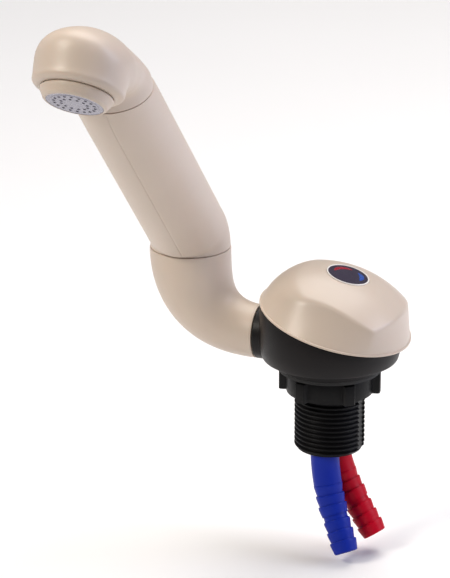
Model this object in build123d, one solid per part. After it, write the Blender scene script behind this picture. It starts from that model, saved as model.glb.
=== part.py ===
from build123d import *
import os
from math import cos, radians, sin, sqrt, tan

# Mixer tap with a folding swivel spout, in millimetres.
# Origin on the shank axis at the deck, +Z up, outlet towards -X, spout leaning towards -Y.

# Threaded shank, deck gasket, washer and nut
thread_diameter = 33.25
shank_length = 39.3
shank_bore = 28.3
shank_chamfer = 1.6
keyway_width = 7.5
keyway_depth = 1.5
keyway_top = -1.0
gasket_thickness = 1.6
gasket_inset = 0.2
washer_thickness = 0.8
washer_width = 5.4
nut_height = 9.8
nut_wall = 3.95
nut_lug_reach = 3.4
nut_lug_width = 5.2
nut_lug_count = 6
nut_lug_angle = 12.0
nut_running_clearance = 0.05
deck_seat_gap = 0.1
washer_nut_gap = 0.1

# Bowl of the body
base_radius = 24.4
base_band_height = 4.6
bowl_corner_radius = 32.0
bowl_corner_height = 6.3
bowl_radius = 33.3
bowl_radius_height = 14.2
bowl_bulge = 0.3
bowl_wall = 3.2
floor_bottom = 3.6
floor_thickness = 2.5

# Outlet boss and collar, on a level axis towards -X
outlet_height = 14.1
socket_projection = 2.0
collar_radius = 12.75
collar_length = 4.2
boss_radius = 12.4
boss_inner_reach = 22.0
spigot_radius = 9.0
running_clearance = 0.05
seam_gap = 0.4
close_clearance = 0.02
flange_margin = 0.3
collar_bore_clearance = 0.35
collar_round = 0.5
clip_room_clearance = 0.3
clip_room_length = 3.4
spigot_nose_step = 2.4
nose_seal_distance = 2.6
outlet_clip_distance = 0.9

# Valve block and cartridge
block_radius = 19.0
port_radius = 3.2
outlet_channel_radius = 3.5
outlet_channel_reach = 9.0
nose_radius = 6.0
nose_end_reach = 13.4
pocket_radius = 15.0
pocket_floor = -8.0
pocket_shoulder = 3.0
ring_thread_radius = 17.0
block_top = 6.4
cup_wall = 2.4
cup_floor = 2.0
case_neck = 2.0
cartridge_seal_step = 1.0
ring_notch_count = 4
ring_notch_length = 4.0
ring_notch_width = 3.0
ring_notch_depth = 1.5
disc_thickness = 2.8
disc_radius = 11.6
moving_disc_radius = 9.6
disc_gap = 0.04
disc_outlet_port_step = 0.7
disc_inlet_port_step = 1.0
disc_inlet_port_place = 1.5
disc_inlet_port_inset = 1.5
mixing_hollow_place = -2.0
mixing_hollow_length = 9.0
mixing_hollow_width = 7.0
stem_radius = 4.0
stem_top = 13.4
stem_flat_width = 2.0
stem_screw_depth = 8.0
spindle_flange_radius = 8.6
spindle_flange_thickness = 2.2
seat_clearance = 0.1

# Knob, in the frame of its tilted axis
knob_tilt = 15.0
knob_offset = 2.3
knob_rim_height = 24.5
rim_radius = 36.4
rim_lip = 0.35
rim_lip_height = 1.1
rim_gap = 0.5
knob_wall = 2.3
crown_height = 26.0
front_corner_radius = 32.8
front_corner_angle = 45.0
rear_corner_radius = 27.1
rear_corner_angle = 119.0
crown_front_reach = 25.8
crown_back_reach = 27.1
crown_side_reach = 22.7
dome_height = 24.6
dome_radius = 54.6
knob_edge_round = 1.0
knob_rear_round = 5.0
badge_radius = 10.3
badge_depth = 1.9
bezel_width = 0.75
bezel_proud = 0.3
hub_radius = 7.4
hub_lift = 0.6
hub_top = 15.0
crown_overlap = 0.01
badge_seat_wall = 2.0
badge_seat_floor = 2.0
badge_recess = 0.15
bezel_chamfer = 0.2
boss_wall = 2.4
screw_radius = 1.5
screw_head_radius = 4.4
screw_head_height = 2.2
screw_well_radius = 5.2
screw_web = 2.0
screw_hole_clearance = 0.3
screw_thread_clearance = 0.05
screw_engagement = 7.0
screw_head_round = 0.8
screw_slot_length = 5.0
screw_slot_width = 1.0
screw_slot_depth = 1.2

# Elbow and lower swivel
elbow_reach = 34.5
lower_seam_height = 52.6
elbow_top_radius = 19.25
elbow_start_pull = 23.0
elbow_end_pull = 24.0
elbow_section_count = 7
elbow_channel_radius = 5.0
elbow_socket_depth = 9.0
swivel_depth = 11.0
swivel_recess_radius = 10.4
swivel_recess_length = 5.6
swivel_tip_gap = 0.8
swivel_seal_lifts = (3.0, 7.0)
clip_distance = 1.0
clip_thickness = 1.0
clip_bite = 1.0
clip_proud = 1.0
o_ring_section = 0.8

# Arm
arm_lean = 45.0
arm_bottom_radius = 19.0
arm_radius = 18.45
arm_wall = 2.8
arm_corner_height = 6.0
lower_bend_taper = 0.2
lower_bend_swell = 0.1
lower_bend_first_forward = 0.4
lower_bend_first_rise = 4.2
lower_bend_first_lean = 11.0
lower_bend_second_forward = 2.6
lower_bend_second_rise = 8.8
lower_bend_second_lean = 27.0
lower_bend_third_distance = 10.5
lower_bend_third_ease = 4.0
lower_bend_length = 20.0
straight_start = 32.0
straight_stop = 30.0
upper_bend_length = 20.0
upper_bend_first_distance = 11.0
upper_bend_first_ease = 6.0
upper_bend_second_distance = 5.0
upper_bend_second_ease = 15.0
upper_seam_forward = 98.2
upper_seam_drop = 0.5
upper_seam_lean = 18.0
tube_radius = 6.0
tube_wall = 1.4
tube_bend_radius = 11.0
spigot_flange_thickness = 2.8
flange_clearance = 0.1
tube_socket_depth = 1.4
tube_lower_run = 6.0
tube_upper_run = 8.0

# Head and rose
head_seam_radius = 18.4
head_rim_radius = 20.6
head_neck_length = 6.0
head_inner_bend = 1.4
crown_section_index = 3
roundness = 0.99999
head_wall = 2.6
rose_reach = 40.7
rose_rise = 10.4
rose_lean = 143.5
rim_bevel_length = 3.2
rim_bevel_middle = 20.0
rim_bevel_middle_length = 1.3
rim_bevel_end = 17.6
rose_ring_radius = 16.4
rose_face_radius = 15.5
rose_neck_step = 0.6
rose_projection = 6.6
rose_edge_round = 2.2
rose_insert_depth = 9.0
rose_plate_radius = 12.8
rose_plate_thickness = 1.4
rose_plate_recess = 0.3
rose_insert_gap = 1.0
rose_ledge = 1.2
rose_ledge_clearance = 0.05
rose_gasket_width = 1.8
rose_gasket_thickness = 1.2
strainer_thickness = 0.8
strainer_hole_count = 6
strainer_hole_radius = 1.6
outer_jet_circle = 9.2
outer_jet_count = 18
inner_jet_circle = 6.0
inner_jet_count = 12
jet_radius = 0.6
head_spigot_radius = 8.0
bearing_length = 12.0
bearing_disc = 3.0
bearing_sleeve_step = 4.4
bearing_recess_step = 1.5
head_spigot_tip_gap = 0.6
head_journal_depth = 7.0
head_recess_depth = 10.2

# Hose tails
tail_spacing = 6.95
tail_radius = 6.75
tail_bore = 4.0
tail_spigot_radius = 5.0
tail_spigot_top = 12.0
tip_root_radius = 5.7
tip_barb_radius = 6.4
neck_root_radius = 6.2
neck_barb_radius = 6.85
barb_pitch = 5.1
barb_length = 4.8
barb_land = 0.8
barbs_in_group = 3
barb_group_gap = 2.5
tail_tip_length = 1.0
tail_tip_round = 0.8
cold_bend_start = 36.0
cold_bend_radius = 65.0
cold_bend_angle = 30.0
cold_bend_heading = -35.6
cold_end_length = 19.0
hot_bend_start = 32.0
hot_bend_radius = 52.0
hot_bend_angle = 35.0
hot_bend_heading = -13.3
hot_end_length = 24.3

# A cut runs this far past the faces that it opens
overrun = 1.0

# Places that follow from their neighbours
socket_reach = bowl_radius + socket_projection
spout_reach = socket_reach + elbow_reach
arm_corner = lower_seam_height + arm_corner_height
upper_seam_height = arm_corner + upper_seam_forward / tan(radians(arm_lean)) - upper_seam_drop
rose_forward = upper_seam_forward + rose_reach
rose_height = upper_seam_height + rose_rise

thread_radius = thread_diameter / 2
shank_bore_radius = shank_bore / 2
floor_top = floor_bottom + floor_thickness
nut_top = -deck_seat_gap - washer_thickness - washer_nut_gap
nut_bottom = nut_top - nut_height

knob_plane = Plane(
    origin=(knob_offset, 0, knob_rim_height),
    x_dir=(cos(radians(knob_tilt)), 0, -sin(radians(knob_tilt))),
    z_dir=(sin(radians(knob_tilt)), 0, cos(radians(knob_tilt))),
)
outlet_plane = Plane(origin=(0, 0, outlet_height), x_dir=(0, 0, 1), z_dir=(-1, 0, 0))


def spout_plane(forward, height, lean):
    """Plane across the spout: its normal leans from vertical towards -Y."""
    normal = (0, -sin(radians(lean)), cos(radians(lean)))
    return Plane(origin=(-spout_reach, -forward, height), x_dir=(1, 0, 0), z_dir=normal)


lower_plane = spout_plane(0, lower_seam_height, 0)
upper_plane = spout_plane(upper_seam_forward, upper_seam_height, upper_seam_lean)
rose_plane = spout_plane(rose_forward, rose_height, rose_lean)


def rod(radius, low, high):
    """Cylinder on the local axis from low to high."""
    bottom = (Align.CENTER, Align.CENTER, Align.MIN)
    return Pos(0, 0, low) * Cylinder(radius, high - low, align=bottom)


def ring(outer, inner, low, high):
    """Tube on the local axis from low to high."""
    return rod(outer, low, high) - rod(inner, low - overrun, high + overrun)


def turned(points):
    """Solid turned from an outline of radius and height points."""
    return revolve(Plane.XZ * make_face(Polyline(*points, close=True)), Axis.Z)


def o_ring(outer, middle):
    """Seal ring whose outside is flush with the spigot that carries it."""
    return Pos(0, 0, middle) * Torus(outer - o_ring_section, o_ring_section)


def seal_groove(outer, middle):
    """Groove that holds an o_ring."""
    half = o_ring_section + seat_clearance
    floor = outer - 2 * o_ring_section - seat_clearance
    return ring(outer + overrun, floor, middle - half, middle + half)


def clip_ring(spigot, middle):
    """Open spring clip in a spigot's groove."""
    half = clip_thickness / 2
    whole = ring(spigot + clip_proud, spigot - clip_bite, middle - half, middle + half)
    opening = Pos(spigot, 0, middle) * Box(2 * spigot, spigot / 2, 2 * clip_thickness)
    return whole - opening


def clip_groove(spigot, middle):
    """Groove that holds a clip_ring."""
    half = clip_thickness / 2 + seat_clearance
    return ring(spigot + overrun, spigot - clip_bite, middle - half, middle + half)


# Body and its mounting

def bowl_solid():
    """Outer form of the body's bowl, before the slanting cut under the knob."""
    top = knob_rim_height + rim_radius
    with BuildLine() as line:
        Polyline((0, gasket_thickness), (base_radius, gasket_thickness), (base_radius, base_band_height))
        Line((base_radius, base_band_height), (bowl_corner_radius, bowl_corner_height))
        mid_height = (bowl_corner_height + bowl_radius_height) / 2
        mid_radius = (bowl_corner_radius + bowl_radius) / 2 + bowl_bulge
        ThreePointArc(
            (bowl_corner_radius, bowl_corner_height),
            (mid_radius, mid_height),
            (bowl_radius, bowl_radius_height),
        )
        Polyline((bowl_radius, bowl_radius_height), (bowl_radius, top), (0, top), (0, gasket_thickness))
    return revolve(Plane.XZ * make_face(line.line), Axis.Z)


def make_tap_body():
    """Bowl, outlet boss and threaded shank in one moulding."""
    inner_radius = bowl_radius - bowl_wall
    bowl = bowl_solid() - rod(inner_radius, floor_top, 3 * knob_rim_height)
    boss_end = socket_reach - seam_gap - collar_length
    bowl += outlet_plane * rod(boss_radius, boss_inner_reach, boss_end)
    bowl -= outlet_plane * rod(collar_radius + seat_clearance, boss_end, socket_reach + overrun)
    bowl &= rod(2 * bowl_radius, gasket_thickness, 2 * bowl_radius)
    shank = rod(thread_radius, -shank_length, floor_bottom)
    shank = chamfer(shank.edges().sort_by(Axis.Z)[0], shank_chamfer)
    body = bowl + shank
    body -= rod(shank_bore_radius, -shank_length - overrun, floor_bottom)
    body -= outlet_plane * rod(spigot_radius + running_clearance, boss_inner_reach - overrun, socket_reach)
    clip_room = spigot_radius + clip_proud + clip_room_clearance
    body -= outlet_plane * rod(clip_room, boss_inner_reach - clip_room_length, boss_inner_reach)
    for side in (-1, 1):
        hole = rod(tail_spigot_radius + seat_clearance, 0, floor_top + overrun)
        body -= tail_place(side) * hole
    keyway = Box(2 * keyway_depth, keyway_width, shank_length + keyway_top + overrun)
    keyway_middle = (keyway_top - shank_length - overrun) / 2
    body -= Pos(thread_radius, 0, keyway_middle) * keyway
    above_rim = knob_plane * rod(3 * rim_radius, -rim_gap, 3 * rim_radius)
    return body - above_rim


def make_deck_gasket():
    """Rubber ring under the body."""
    return ring(base_radius - gasket_inset, thread_radius + seat_clearance, 0, gasket_thickness)


def make_slip_washer():
    """Washer that the nut pushes up against the worktop."""
    inner = thread_radius + nut_running_clearance
    return ring(inner + washer_width, inner, -deck_seat_gap - washer_thickness, -deck_seat_gap)


def make_mounting_nut():
    """Round nut with lugs for a spanner or fingers."""
    inner = thread_radius + nut_running_clearance
    outer = inner + nut_wall
    nut = rod(outer, nut_bottom, nut_top)
    lug_length = outer / 2 + nut_lug_reach
    lug_box = Box(lug_length, nut_lug_width, nut_height, align=(Align.MIN, Align.CENTER, Align.MIN))
    lug = Pos(outer / 2, 0, nut_bottom) * lug_box
    for index in range(nut_lug_count):
        nut += Rot(0, 0, nut_lug_angle + index * 360 / nut_lug_count) * lug
    nut = nut & rod(outer + nut_lug_reach, nut_bottom, nut_top)
    return nut - rod(inner, nut_bottom - overrun, nut_top + overrun)


# Hose tails

def tail_place(side):
    """Place of a tail in the shank, on one side or the other."""
    return Pos(0, side * tail_spacing, 0)


def tail_path(bend_start, bend_radius, bend_angle, end_length):
    """Centre line of a tail in its own bending plane: down, round and on."""
    tangent = bend_radius * tan(radians(bend_angle) / 2)
    corner = -bend_start - tangent
    run = tangent + end_length
    end = (run * sin(radians(bend_angle)), 0, corner - run * cos(radians(bend_angle)))
    return FilletPolyline((0, 0, floor_bottom), (0, 0, corner), end, radius=bend_radius)


def tail_station(path, distance):
    """Plane across a tail at a distance along its centre line."""
    foot = path.position_at(distance, position_mode=PositionMode.LENGTH)
    heading = path.tangent_at(distance, position_mode=PositionMode.LENGTH)
    return Plane(origin=foot, x_dir=(0, 1, 0), z_dir=heading)


def tail_tube(path, radius):
    """Round bar along the whole of a tail's centre line."""
    top = Plane(origin=path @ 0, x_dir=(1, 0, 0), z_dir=path % 0)
    return sweep(top * Circle(radius), path=path)


def tail_tube_down_to(path, radius, distance):
    """Round bar along a tail's centre line, from its top to a distance."""
    size = 2 * path.length
    block = Box(size, size, size, align=(Align.CENTER, Align.CENTER, Align.MIN))
    below = tail_station(path, distance) * block
    return tail_tube(path, radius) - below


def barb(widest, root):
    """One barb: a sharp shoulder, a short land and a cone towards the tip."""
    outline = ((0, 0), (widest, 0), (widest, barb_land), (root, barb_length), (0, barb_length))
    return Pos(0, 0, -barb_length) * turned(outline)


def make_tail(side, bend_start, bend_radius, bend_angle, end_length, heading):
    """Semi-rigid hose tail: spigot on top, bend below the shank, two groups of barbs."""
    path = tail_path(bend_start, bend_radius, bend_angle, end_length)
    group_length = barbs_in_group * barb_pitch + barb_group_gap
    neck_end = path.length - tail_tip_length - group_length
    tip = tail_tube(path, tip_root_radius)
    outside = fillet(tip.edges().filter_by(GeomType.CIRCLE).sort_by(Axis.Z)[0], tail_tip_round)
    outside += tail_tube_down_to(path, neck_root_radius, neck_end)
    outside += tail_tube_down_to(path, tail_radius, neck_end - barbs_in_group * barb_pitch)
    outside += rod(tail_spigot_radius, floor_bottom, tail_spigot_top)
    for index in range(barbs_in_group):
        lift = index * barb_pitch
        outside += tail_station(path, neck_end - lift) * barb(neck_barb_radius, neck_root_radius)
        tip_place = tail_station(path, path.length - tail_tip_length - lift)
        outside += tip_place * barb(tip_barb_radius, tip_root_radius)
    outside -= seal_groove(tail_spigot_radius, (floor_top + tail_spigot_top) / 2)
    inside = tail_tube(path, tail_bore)
    inside += tail_station(path, path.length) * rod(tail_bore, -overrun, overrun)
    inside += rod(port_radius, floor_bottom - overrun, tail_spigot_top + overrun)
    return tail_place(side) * Rot(0, 0, heading) * (outside - inside)


def make_cold_tail():
    """Blue tail, at the front."""
    shape = (cold_bend_start, cold_bend_radius, cold_bend_angle, cold_end_length)
    return make_tail(-1, *shape, cold_bend_heading)


def make_hot_tail():
    """Red tail, at the back."""
    shape = (hot_bend_start, hot_bend_radius, hot_bend_angle, hot_end_length)
    return make_tail(1, *shape, hot_bend_heading)


def make_tail_o_rings():
    """One seal on the spigot of each tail."""
    middle = (floor_top + tail_spigot_top) / 2
    seal = o_ring(tail_spigot_radius, middle)
    return Compound([tail_place(-1) * seal, tail_place(1) * seal])


# Valve block and cartridge, in the knob's tilted frame

def make_valve_block():
    """Housing that joins the tails, the cartridge and the outlet."""
    upright = rod(block_radius, floor_top, knob_rim_height + block_radius)
    upright -= knob_plane * rod(3 * block_radius, pocket_floor, 3 * knob_rim_height)
    cup = knob_plane * rod(ring_thread_radius + cup_wall, pocket_floor - cup_floor, block_top)
    block = upright + cup
    block -= knob_plane * rod(pocket_radius, pocket_floor, block_top + overrun)
    block -= knob_plane * rod(ring_thread_radius, pocket_shoulder, block_top + overrun)
    for side in (-1, 1):
        block -= tail_place(side) * rod(tail_spigot_radius + seat_clearance, 0, tail_spigot_top)
        block -= tail_place(side) * rod(port_radius, 0, knob_rim_height)
    bore = rod(nose_radius + running_clearance, nose_end_reach - seat_clearance, 2 * block_radius)
    channel = rod(outlet_channel_radius, outlet_channel_reach, nose_end_reach)
    block -= outlet_plane * (bore + channel)
    riser = rod(outlet_channel_radius, outlet_height, knob_rim_height)
    return block - Pos(-outlet_channel_reach, 0, 0) * riser


fixed_disc_low = pocket_floor + 2 * o_ring_section
fixed_disc_high = fixed_disc_low + disc_thickness
moving_disc_high = fixed_disc_high + disc_gap + disc_thickness
flange_high = moving_disc_high + spindle_flange_thickness
case_high = block_top + case_neck


def make_cartridge_case():
    """Case of the cartridge, open below, with the stem's bearing on top."""
    outer = pocket_radius - seat_clearance
    case = rod(outer, fixed_disc_low, pocket_shoulder - seat_clearance)
    case += rod(hub_radius, fixed_disc_high, case_high)
    case -= rod(disc_radius + seat_clearance, fixed_disc_low - overrun, flange_high + seat_clearance)
    case -= rod(stem_radius + running_clearance, fixed_disc_low, case_high + overrun)
    return knob_plane * case


def make_cartridge_seal():
    """Ring between the pocket's floor and the cartridge."""
    seal = Torus(disc_radius + cartridge_seal_step, o_ring_section)
    return knob_plane * (Pos(0, 0, pocket_floor + o_ring_section) * seal)


def disc_ports(low, high):
    """Two inlet ports and one outlet port through a ceramic disc."""
    ports = Pos(-outlet_channel_reach + knob_offset, 0, 0) * rod(port_radius - disc_outlet_port_step, low, high)
    for side in (-1, 1):
        place = Pos(disc_inlet_port_place, side * (tail_spacing - disc_inlet_port_inset), 0)
        ports += place * rod(port_radius - disc_inlet_port_step, low, high)
    return ports


def make_fixed_disc():
    """Lower ceramic disc."""
    disc = rod(disc_radius, fixed_disc_low, fixed_disc_high)
    return knob_plane * (disc - disc_ports(fixed_disc_low - overrun, fixed_disc_high + overrun))


def make_moving_disc():
    """Upper ceramic disc with its mixing hollow."""
    low = fixed_disc_high + disc_gap
    disc = rod(moving_disc_radius, low, moving_disc_high)
    hollow = Box(mixing_hollow_length, mixing_hollow_width, disc_thickness)
    return knob_plane * (disc - Pos(mixing_hollow_place, 0, low) * hollow)


def make_spindle():
    """Stem with the flange that drives the moving disc."""
    stem = rod(spindle_flange_radius, moving_disc_high, flange_high)
    stem += rod(stem_radius, moving_disc_high, stem_top)
    flat = Box(stem_flat_width, 2 * stem_radius, 2 * (stem_top - case_high))
    stem -= Pos(stem_radius, 0, stem_top) * flat
    return knob_plane * (stem - rod(screw_radius, stem_top - stem_screw_depth, stem_top + overrun))


def make_cartridge_ring():
    """Threaded ring that holds the cartridge in its pocket."""
    outer = ring_thread_radius - seat_clearance
    inner = hub_radius + seat_clearance
    body = ring(outer, inner, pocket_shoulder, block_top)
    notch = Box(ring_notch_length, ring_notch_width, 2 * ring_notch_depth)
    for index in range(ring_notch_count):
        turn = 360 / ring_notch_count * (index + 0.5)
        body -= Rot(0, 0, turn) * Pos((outer + inner) / 2, 0, block_top) * notch
    return knob_plane * body


# Knob, in its tilted frame

def polar(radius, angle):
    """Point in a level outline."""
    return (radius * cos(radians(angle)), radius * sin(radians(angle)))


def knob_form(inset):
    """Facetted wall from a round rim to a four-sided crown, under a domed top."""
    rim = rim_radius - inset
    angles = (-front_corner_angle, front_corner_angle, rear_corner_angle, 360 - rear_corner_angle)
    corners = [polar(front_corner_radius - inset, angles[0])]
    corners.append(polar(front_corner_radius - inset, angles[1]))
    corners.append(polar(rear_corner_radius - inset, angles[2]))
    corners.append(polar(rear_corner_radius - inset, angles[3]))
    side_x = (corners[1][0] + corners[2][0]) / 2
    side_y = crown_side_reach - inset
    middles = (
        (crown_front_reach - inset, 0),
        (side_x, side_y),
        (-crown_back_reach + inset, 0),
        (side_x, -side_y),
    )
    with BuildLine() as rim_line:
        for index in range(4):
            start = angles[index]
            end = angles[(index + 1) % 4] + (360 if index == 3 else 0)
            ThreePointArc(polar(rim, start), polar(rim, (start + end) / 2), polar(rim, end))
    with BuildLine() as crown_line:
        for index in range(4):
            ThreePointArc(corners[index], middles[index], corners[(index + 1) % 4])
    crown_face = Pos(0, 0, crown_height) * make_face(crown_line.line)
    wall = loft([make_face(rim_line.line), crown_face], ruled=True)
    ball = Pos(0, 0, dome_height - dome_radius) * Sphere(dome_radius - inset)
    return wall & ball


badge_floor = dome_height - badge_depth
badge_edge_height = dome_height - dome_radius + sqrt(dome_radius ** 2 - badge_radius ** 2)
bezel_top = badge_edge_height + bezel_proud
well_floor = hub_top + screw_web


def is_rear_corner(edge):
    """Whether an edge of the knob is one of the two soft upright ones at its back."""
    rise = abs(edge.position_at(1).Z - edge.position_at(0).Z)
    return edge.center().X < 0 and rise > crown_height / 3


def is_crisp_crease(edge):
    """Whether an edge of the knob is a crease of its crown or one of the two corners in front."""
    middle = edge.center()
    in_front = middle.X > 0 and middle.Z > knob_edge_round
    return in_front or middle.Z > crown_height / 2


def make_knob_shell():
    """Ivory dome with its rim bead, hub boss, screw well and badge seat."""
    outer = knob_form(0)
    outer = fillet(outer.edges().filter_by(is_rear_corner), knob_rear_round)
    outer = fillet(outer.edges().filter_by(is_crisp_crease), knob_edge_round)
    bead = ring(rim_radius + rim_lip, rim_radius - knob_wall, 0, rim_lip_height)
    inner = Pos(0, 0, -crown_overlap) * knob_form(knob_wall)
    boss_radius_out = hub_radius + seat_clearance + boss_wall
    hub_bottom = case_high + hub_lift
    boss = rod(boss_radius_out, hub_bottom, dome_height) & outer
    seat = rod(badge_radius + badge_seat_wall, badge_floor - badge_seat_floor, dome_height) & outer
    shell = (outer - inner) + boss + seat + bead
    shell -= rod(hub_radius + seat_clearance, hub_bottom - overrun, hub_top)
    shell -= rod(screw_radius + screw_hole_clearance, hub_top - overrun, dome_height)
    shell -= rod(screw_well_radius, well_floor, dome_height + overrun)
    shell -= rod(badge_radius + seat_clearance, badge_floor, dome_height + overrun)
    return knob_plane * shell


def make_knob_hub():
    """Insert that carries the knob on the flatted stem."""
    hub = rod(hub_radius, case_high + hub_lift, hub_top)
    socket = rod(stem_radius + seat_clearance, 0, stem_top + seat_clearance)
    flat_side = stem_radius + seat_clearance
    flat = Box(stem_flat_width, 2 * flat_side, 2 * (stem_top - case_high))
    hub -= socket - Pos(flat_side, 0, stem_top) * flat
    return knob_plane * (hub - rod(screw_radius + screw_hole_clearance, 0, hub_top + overrun))


def make_knob_screw():
    """Screw that draws the knob down on its stem."""
    screw = rod(screw_head_radius, well_floor, well_floor + screw_head_height)
    screw = fillet(screw.edges().sort_by(Axis.Z)[-1], screw_head_round)
    screw += rod(screw_radius - screw_thread_clearance, stem_top - screw_engagement, well_floor)
    slot = Box(screw_slot_length, screw_slot_width, 2 * screw_slot_depth)
    for angle in (0, 90):
        screw -= Rot(0, 0, angle) * Pos(0, 0, well_floor + screw_head_height) * slot
    return knob_plane * screw


def make_badge_bezel():
    """Pale ring round the badge."""
    bezel = ring(badge_radius, badge_radius - bezel_width, badge_floor, bezel_top)
    return knob_plane * chamfer(bezel.edges().group_by(Axis.Z)[-1], bezel_chamfer)


def make_badge_disc():
    """Round badge that covers the knob's screw."""
    radius = badge_radius - bezel_width - close_clearance
    return knob_plane * rod(radius, badge_floor, bezel_top - badge_recess)


# Outlet collar, elbow and its spigot

def make_outlet_collar():
    """Ring that closes the socket between body and elbow."""
    high = socket_reach - seam_gap
    collar = ring(collar_radius, spigot_radius + collar_bore_clearance, high - collar_length, high)
    collar = fillet(collar.edges().group_by(Axis.Z)[-1].sort_by(SortBy.RADIUS)[-1], collar_round)
    return outlet_plane * collar


def elbow_point(share):
    """Point and direction on the elbow's centre line, in X and Z."""
    rest = 1 - share
    weights = (rest ** 3, 3 * rest ** 2 * share, 3 * rest * share ** 2, share ** 3)
    xs = (-socket_reach, -socket_reach - elbow_start_pull, -spout_reach, -spout_reach)
    top = lower_seam_height
    zs = (outlet_height, outlet_height, top - elbow_end_pull, top)
    x = sum(weight * value for weight, value in zip(weights, xs))
    z = sum(weight * value for weight, value in zip(weights, zs))
    slopes = (rest ** 2, 2 * rest * share, share ** 2)
    dx = sum(slope * (xs[index + 1] - xs[index]) for index, slope in enumerate(slopes))
    dz = sum(slope * (zs[index + 1] - zs[index]) for index, slope in enumerate(slopes))
    return Plane(origin=(x, 0, z), x_dir=(0, 1, 0), z_dir=(dx, 0, dz))


def elbow_loft(start_radius, end_radius):
    """Smooth body through circles along the elbow's centre line."""
    faces = []
    for index in range(elbow_section_count):
        share = index / (elbow_section_count - 1)
        growth = share * share * (3 - 2 * share)
        radius = start_radius + (end_radius - start_radius) * growth
        faces.append(elbow_point(share) * Circle(radius))
    return loft(faces)


def make_elbow():
    """Ivory elbow, from the socket's size to the arm's size."""
    elbow = elbow_loft(collar_radius, elbow_top_radius)
    elbow -= elbow_loft(elbow_channel_radius, elbow_channel_radius)
    socket_end = socket_reach + elbow_socket_depth
    elbow -= outlet_plane * rod(spigot_radius + close_clearance, socket_reach - overrun, socket_end)
    elbow -= lower_plane * rod(spigot_radius + running_clearance, -swivel_depth, overrun)
    recess_low = -swivel_depth - swivel_recess_length
    elbow -= lower_plane * rod(swivel_recess_radius, recess_low, -swivel_depth)
    return elbow


def make_elbow_spigot():
    """Bearing spigot of the elbow, with its nose in the valve block."""
    start = boss_inner_reach - spigot_nose_step
    spigot = rod(spigot_radius, start, socket_reach + elbow_socket_depth)
    spigot += rod(nose_radius, nose_end_reach, start)
    spigot -= seal_groove(spigot_radius, (boss_inner_reach + socket_reach) / 2)
    spigot -= seal_groove(nose_radius, nose_end_reach + nose_seal_distance)
    spigot -= clip_groove(spigot_radius, boss_inner_reach - outlet_clip_distance)
    return outlet_plane * (spigot - rod(outlet_channel_radius, 0, 2 * socket_reach))


def make_outlet_o_rings():
    """Seals on the elbow's spigot and on its nose."""
    large = o_ring(spigot_radius, (boss_inner_reach + socket_reach) / 2)
    small = o_ring(nose_radius, nose_end_reach + nose_seal_distance)
    return Compound([outlet_plane * large, outlet_plane * small])


def make_outlet_clip():
    """Clip behind the body's boss."""
    return outlet_plane * clip_ring(spigot_radius, boss_inner_reach - outlet_clip_distance)


# Arm, its spigot and its inner tube

arm_run = upper_seam_forward / sin(radians(arm_lean))


def arm_plane(distance, lean):
    """Plane across the arm's straight centre line, at a distance from its lower corner."""
    forward = distance * sin(radians(arm_lean))
    height = arm_corner + distance * cos(radians(arm_lean))
    return spout_plane(forward, height, lean)


def arm_solid(inset, low_extra, high_extra):
    """Outer or inner form of the arm: bend, straight tube and bend."""
    low = spout_plane(0, lower_seam_height + seam_gap - low_extra, 0)
    radius = arm_radius - inset
    first_height = lower_seam_height + lower_bend_first_rise
    first = spout_plane(lower_bend_first_forward, first_height, lower_bend_first_lean)
    second_height = lower_seam_height + lower_bend_second_rise
    second = spout_plane(lower_bend_second_forward, second_height, lower_bend_second_lean)
    lower_faces = [
        low * Circle(arm_bottom_radius - inset),
        first * Circle(arm_bottom_radius - lower_bend_taper - inset),
        second * Circle(radius + lower_bend_swell),
        arm_plane(lower_bend_third_distance, arm_lean - lower_bend_third_ease) * Circle(radius),
        arm_plane(lower_bend_length, arm_lean) * Circle(radius),
        arm_plane(straight_start, arm_lean) * Circle(radius),
    ]
    straight_length = arm_run - straight_start - straight_stop
    straight = arm_plane(straight_start, arm_lean) * rod(radius, 0, straight_length)
    top_normal = upper_seam_lean
    top_forward = upper_seam_forward + high_extra * sin(radians(top_normal))
    top_height = upper_seam_height + high_extra * cos(radians(top_normal))
    upper_faces = [
        arm_plane(arm_run - straight_stop, arm_lean) * Circle(radius),
        arm_plane(arm_run - upper_bend_length, arm_lean) * Circle(radius),
        arm_plane(arm_run - upper_bend_first_distance, arm_lean - upper_bend_first_ease) * Circle(radius),
        arm_plane(arm_run - upper_bend_second_distance, arm_lean - upper_bend_second_ease) * Circle(radius),
        spout_plane(top_forward, top_height, top_normal) * Circle(head_seam_radius - inset),
    ]
    return loft(lower_faces) + straight + loft(upper_faces)


def make_spout_arm():
    """Ivory tube of the spout, hollow from end to end."""
    arm = arm_solid(0, 0, 0) - arm_solid(arm_wall, overrun, overrun)
    arm -= lower_plane * rod(flange_radius + seat_clearance, 0, seam_gap + spigot_flange_thickness)
    return arm - upper_plane * rod(bearing_radius + seat_clearance, -bearing_disc, overrun)


flange_radius = arm_bottom_radius - arm_wall - flange_clearance - flange_margin
bearing_radius = head_seam_radius - arm_wall - flange_clearance - flange_margin


def make_arm_spigot():
    """Swivel spigot at the foot of the arm."""
    low = seam_gap
    high = seam_gap + spigot_flange_thickness
    tip = -swivel_depth - swivel_recess_length + swivel_tip_gap
    spigot = rod(flange_radius, low, high) + rod(spigot_radius, tip, low)
    for lift in swivel_seal_lifts:
        spigot -= seal_groove(spigot_radius, -swivel_depth + lift)
    spigot -= clip_groove(spigot_radius, -swivel_depth - clip_distance)
    spigot -= rod(tube_radius - tube_wall, tip - overrun, high + overrun)
    spigot -= rod(tube_radius + close_clearance, high - tube_socket_depth, high + overrun)
    return lower_plane * spigot


def make_arm_o_rings():
    """Two seals on the arm's spigot."""
    rings = [lower_plane * o_ring(spigot_radius, -swivel_depth + lift) for lift in swivel_seal_lifts]
    return Compound(rings)


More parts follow.
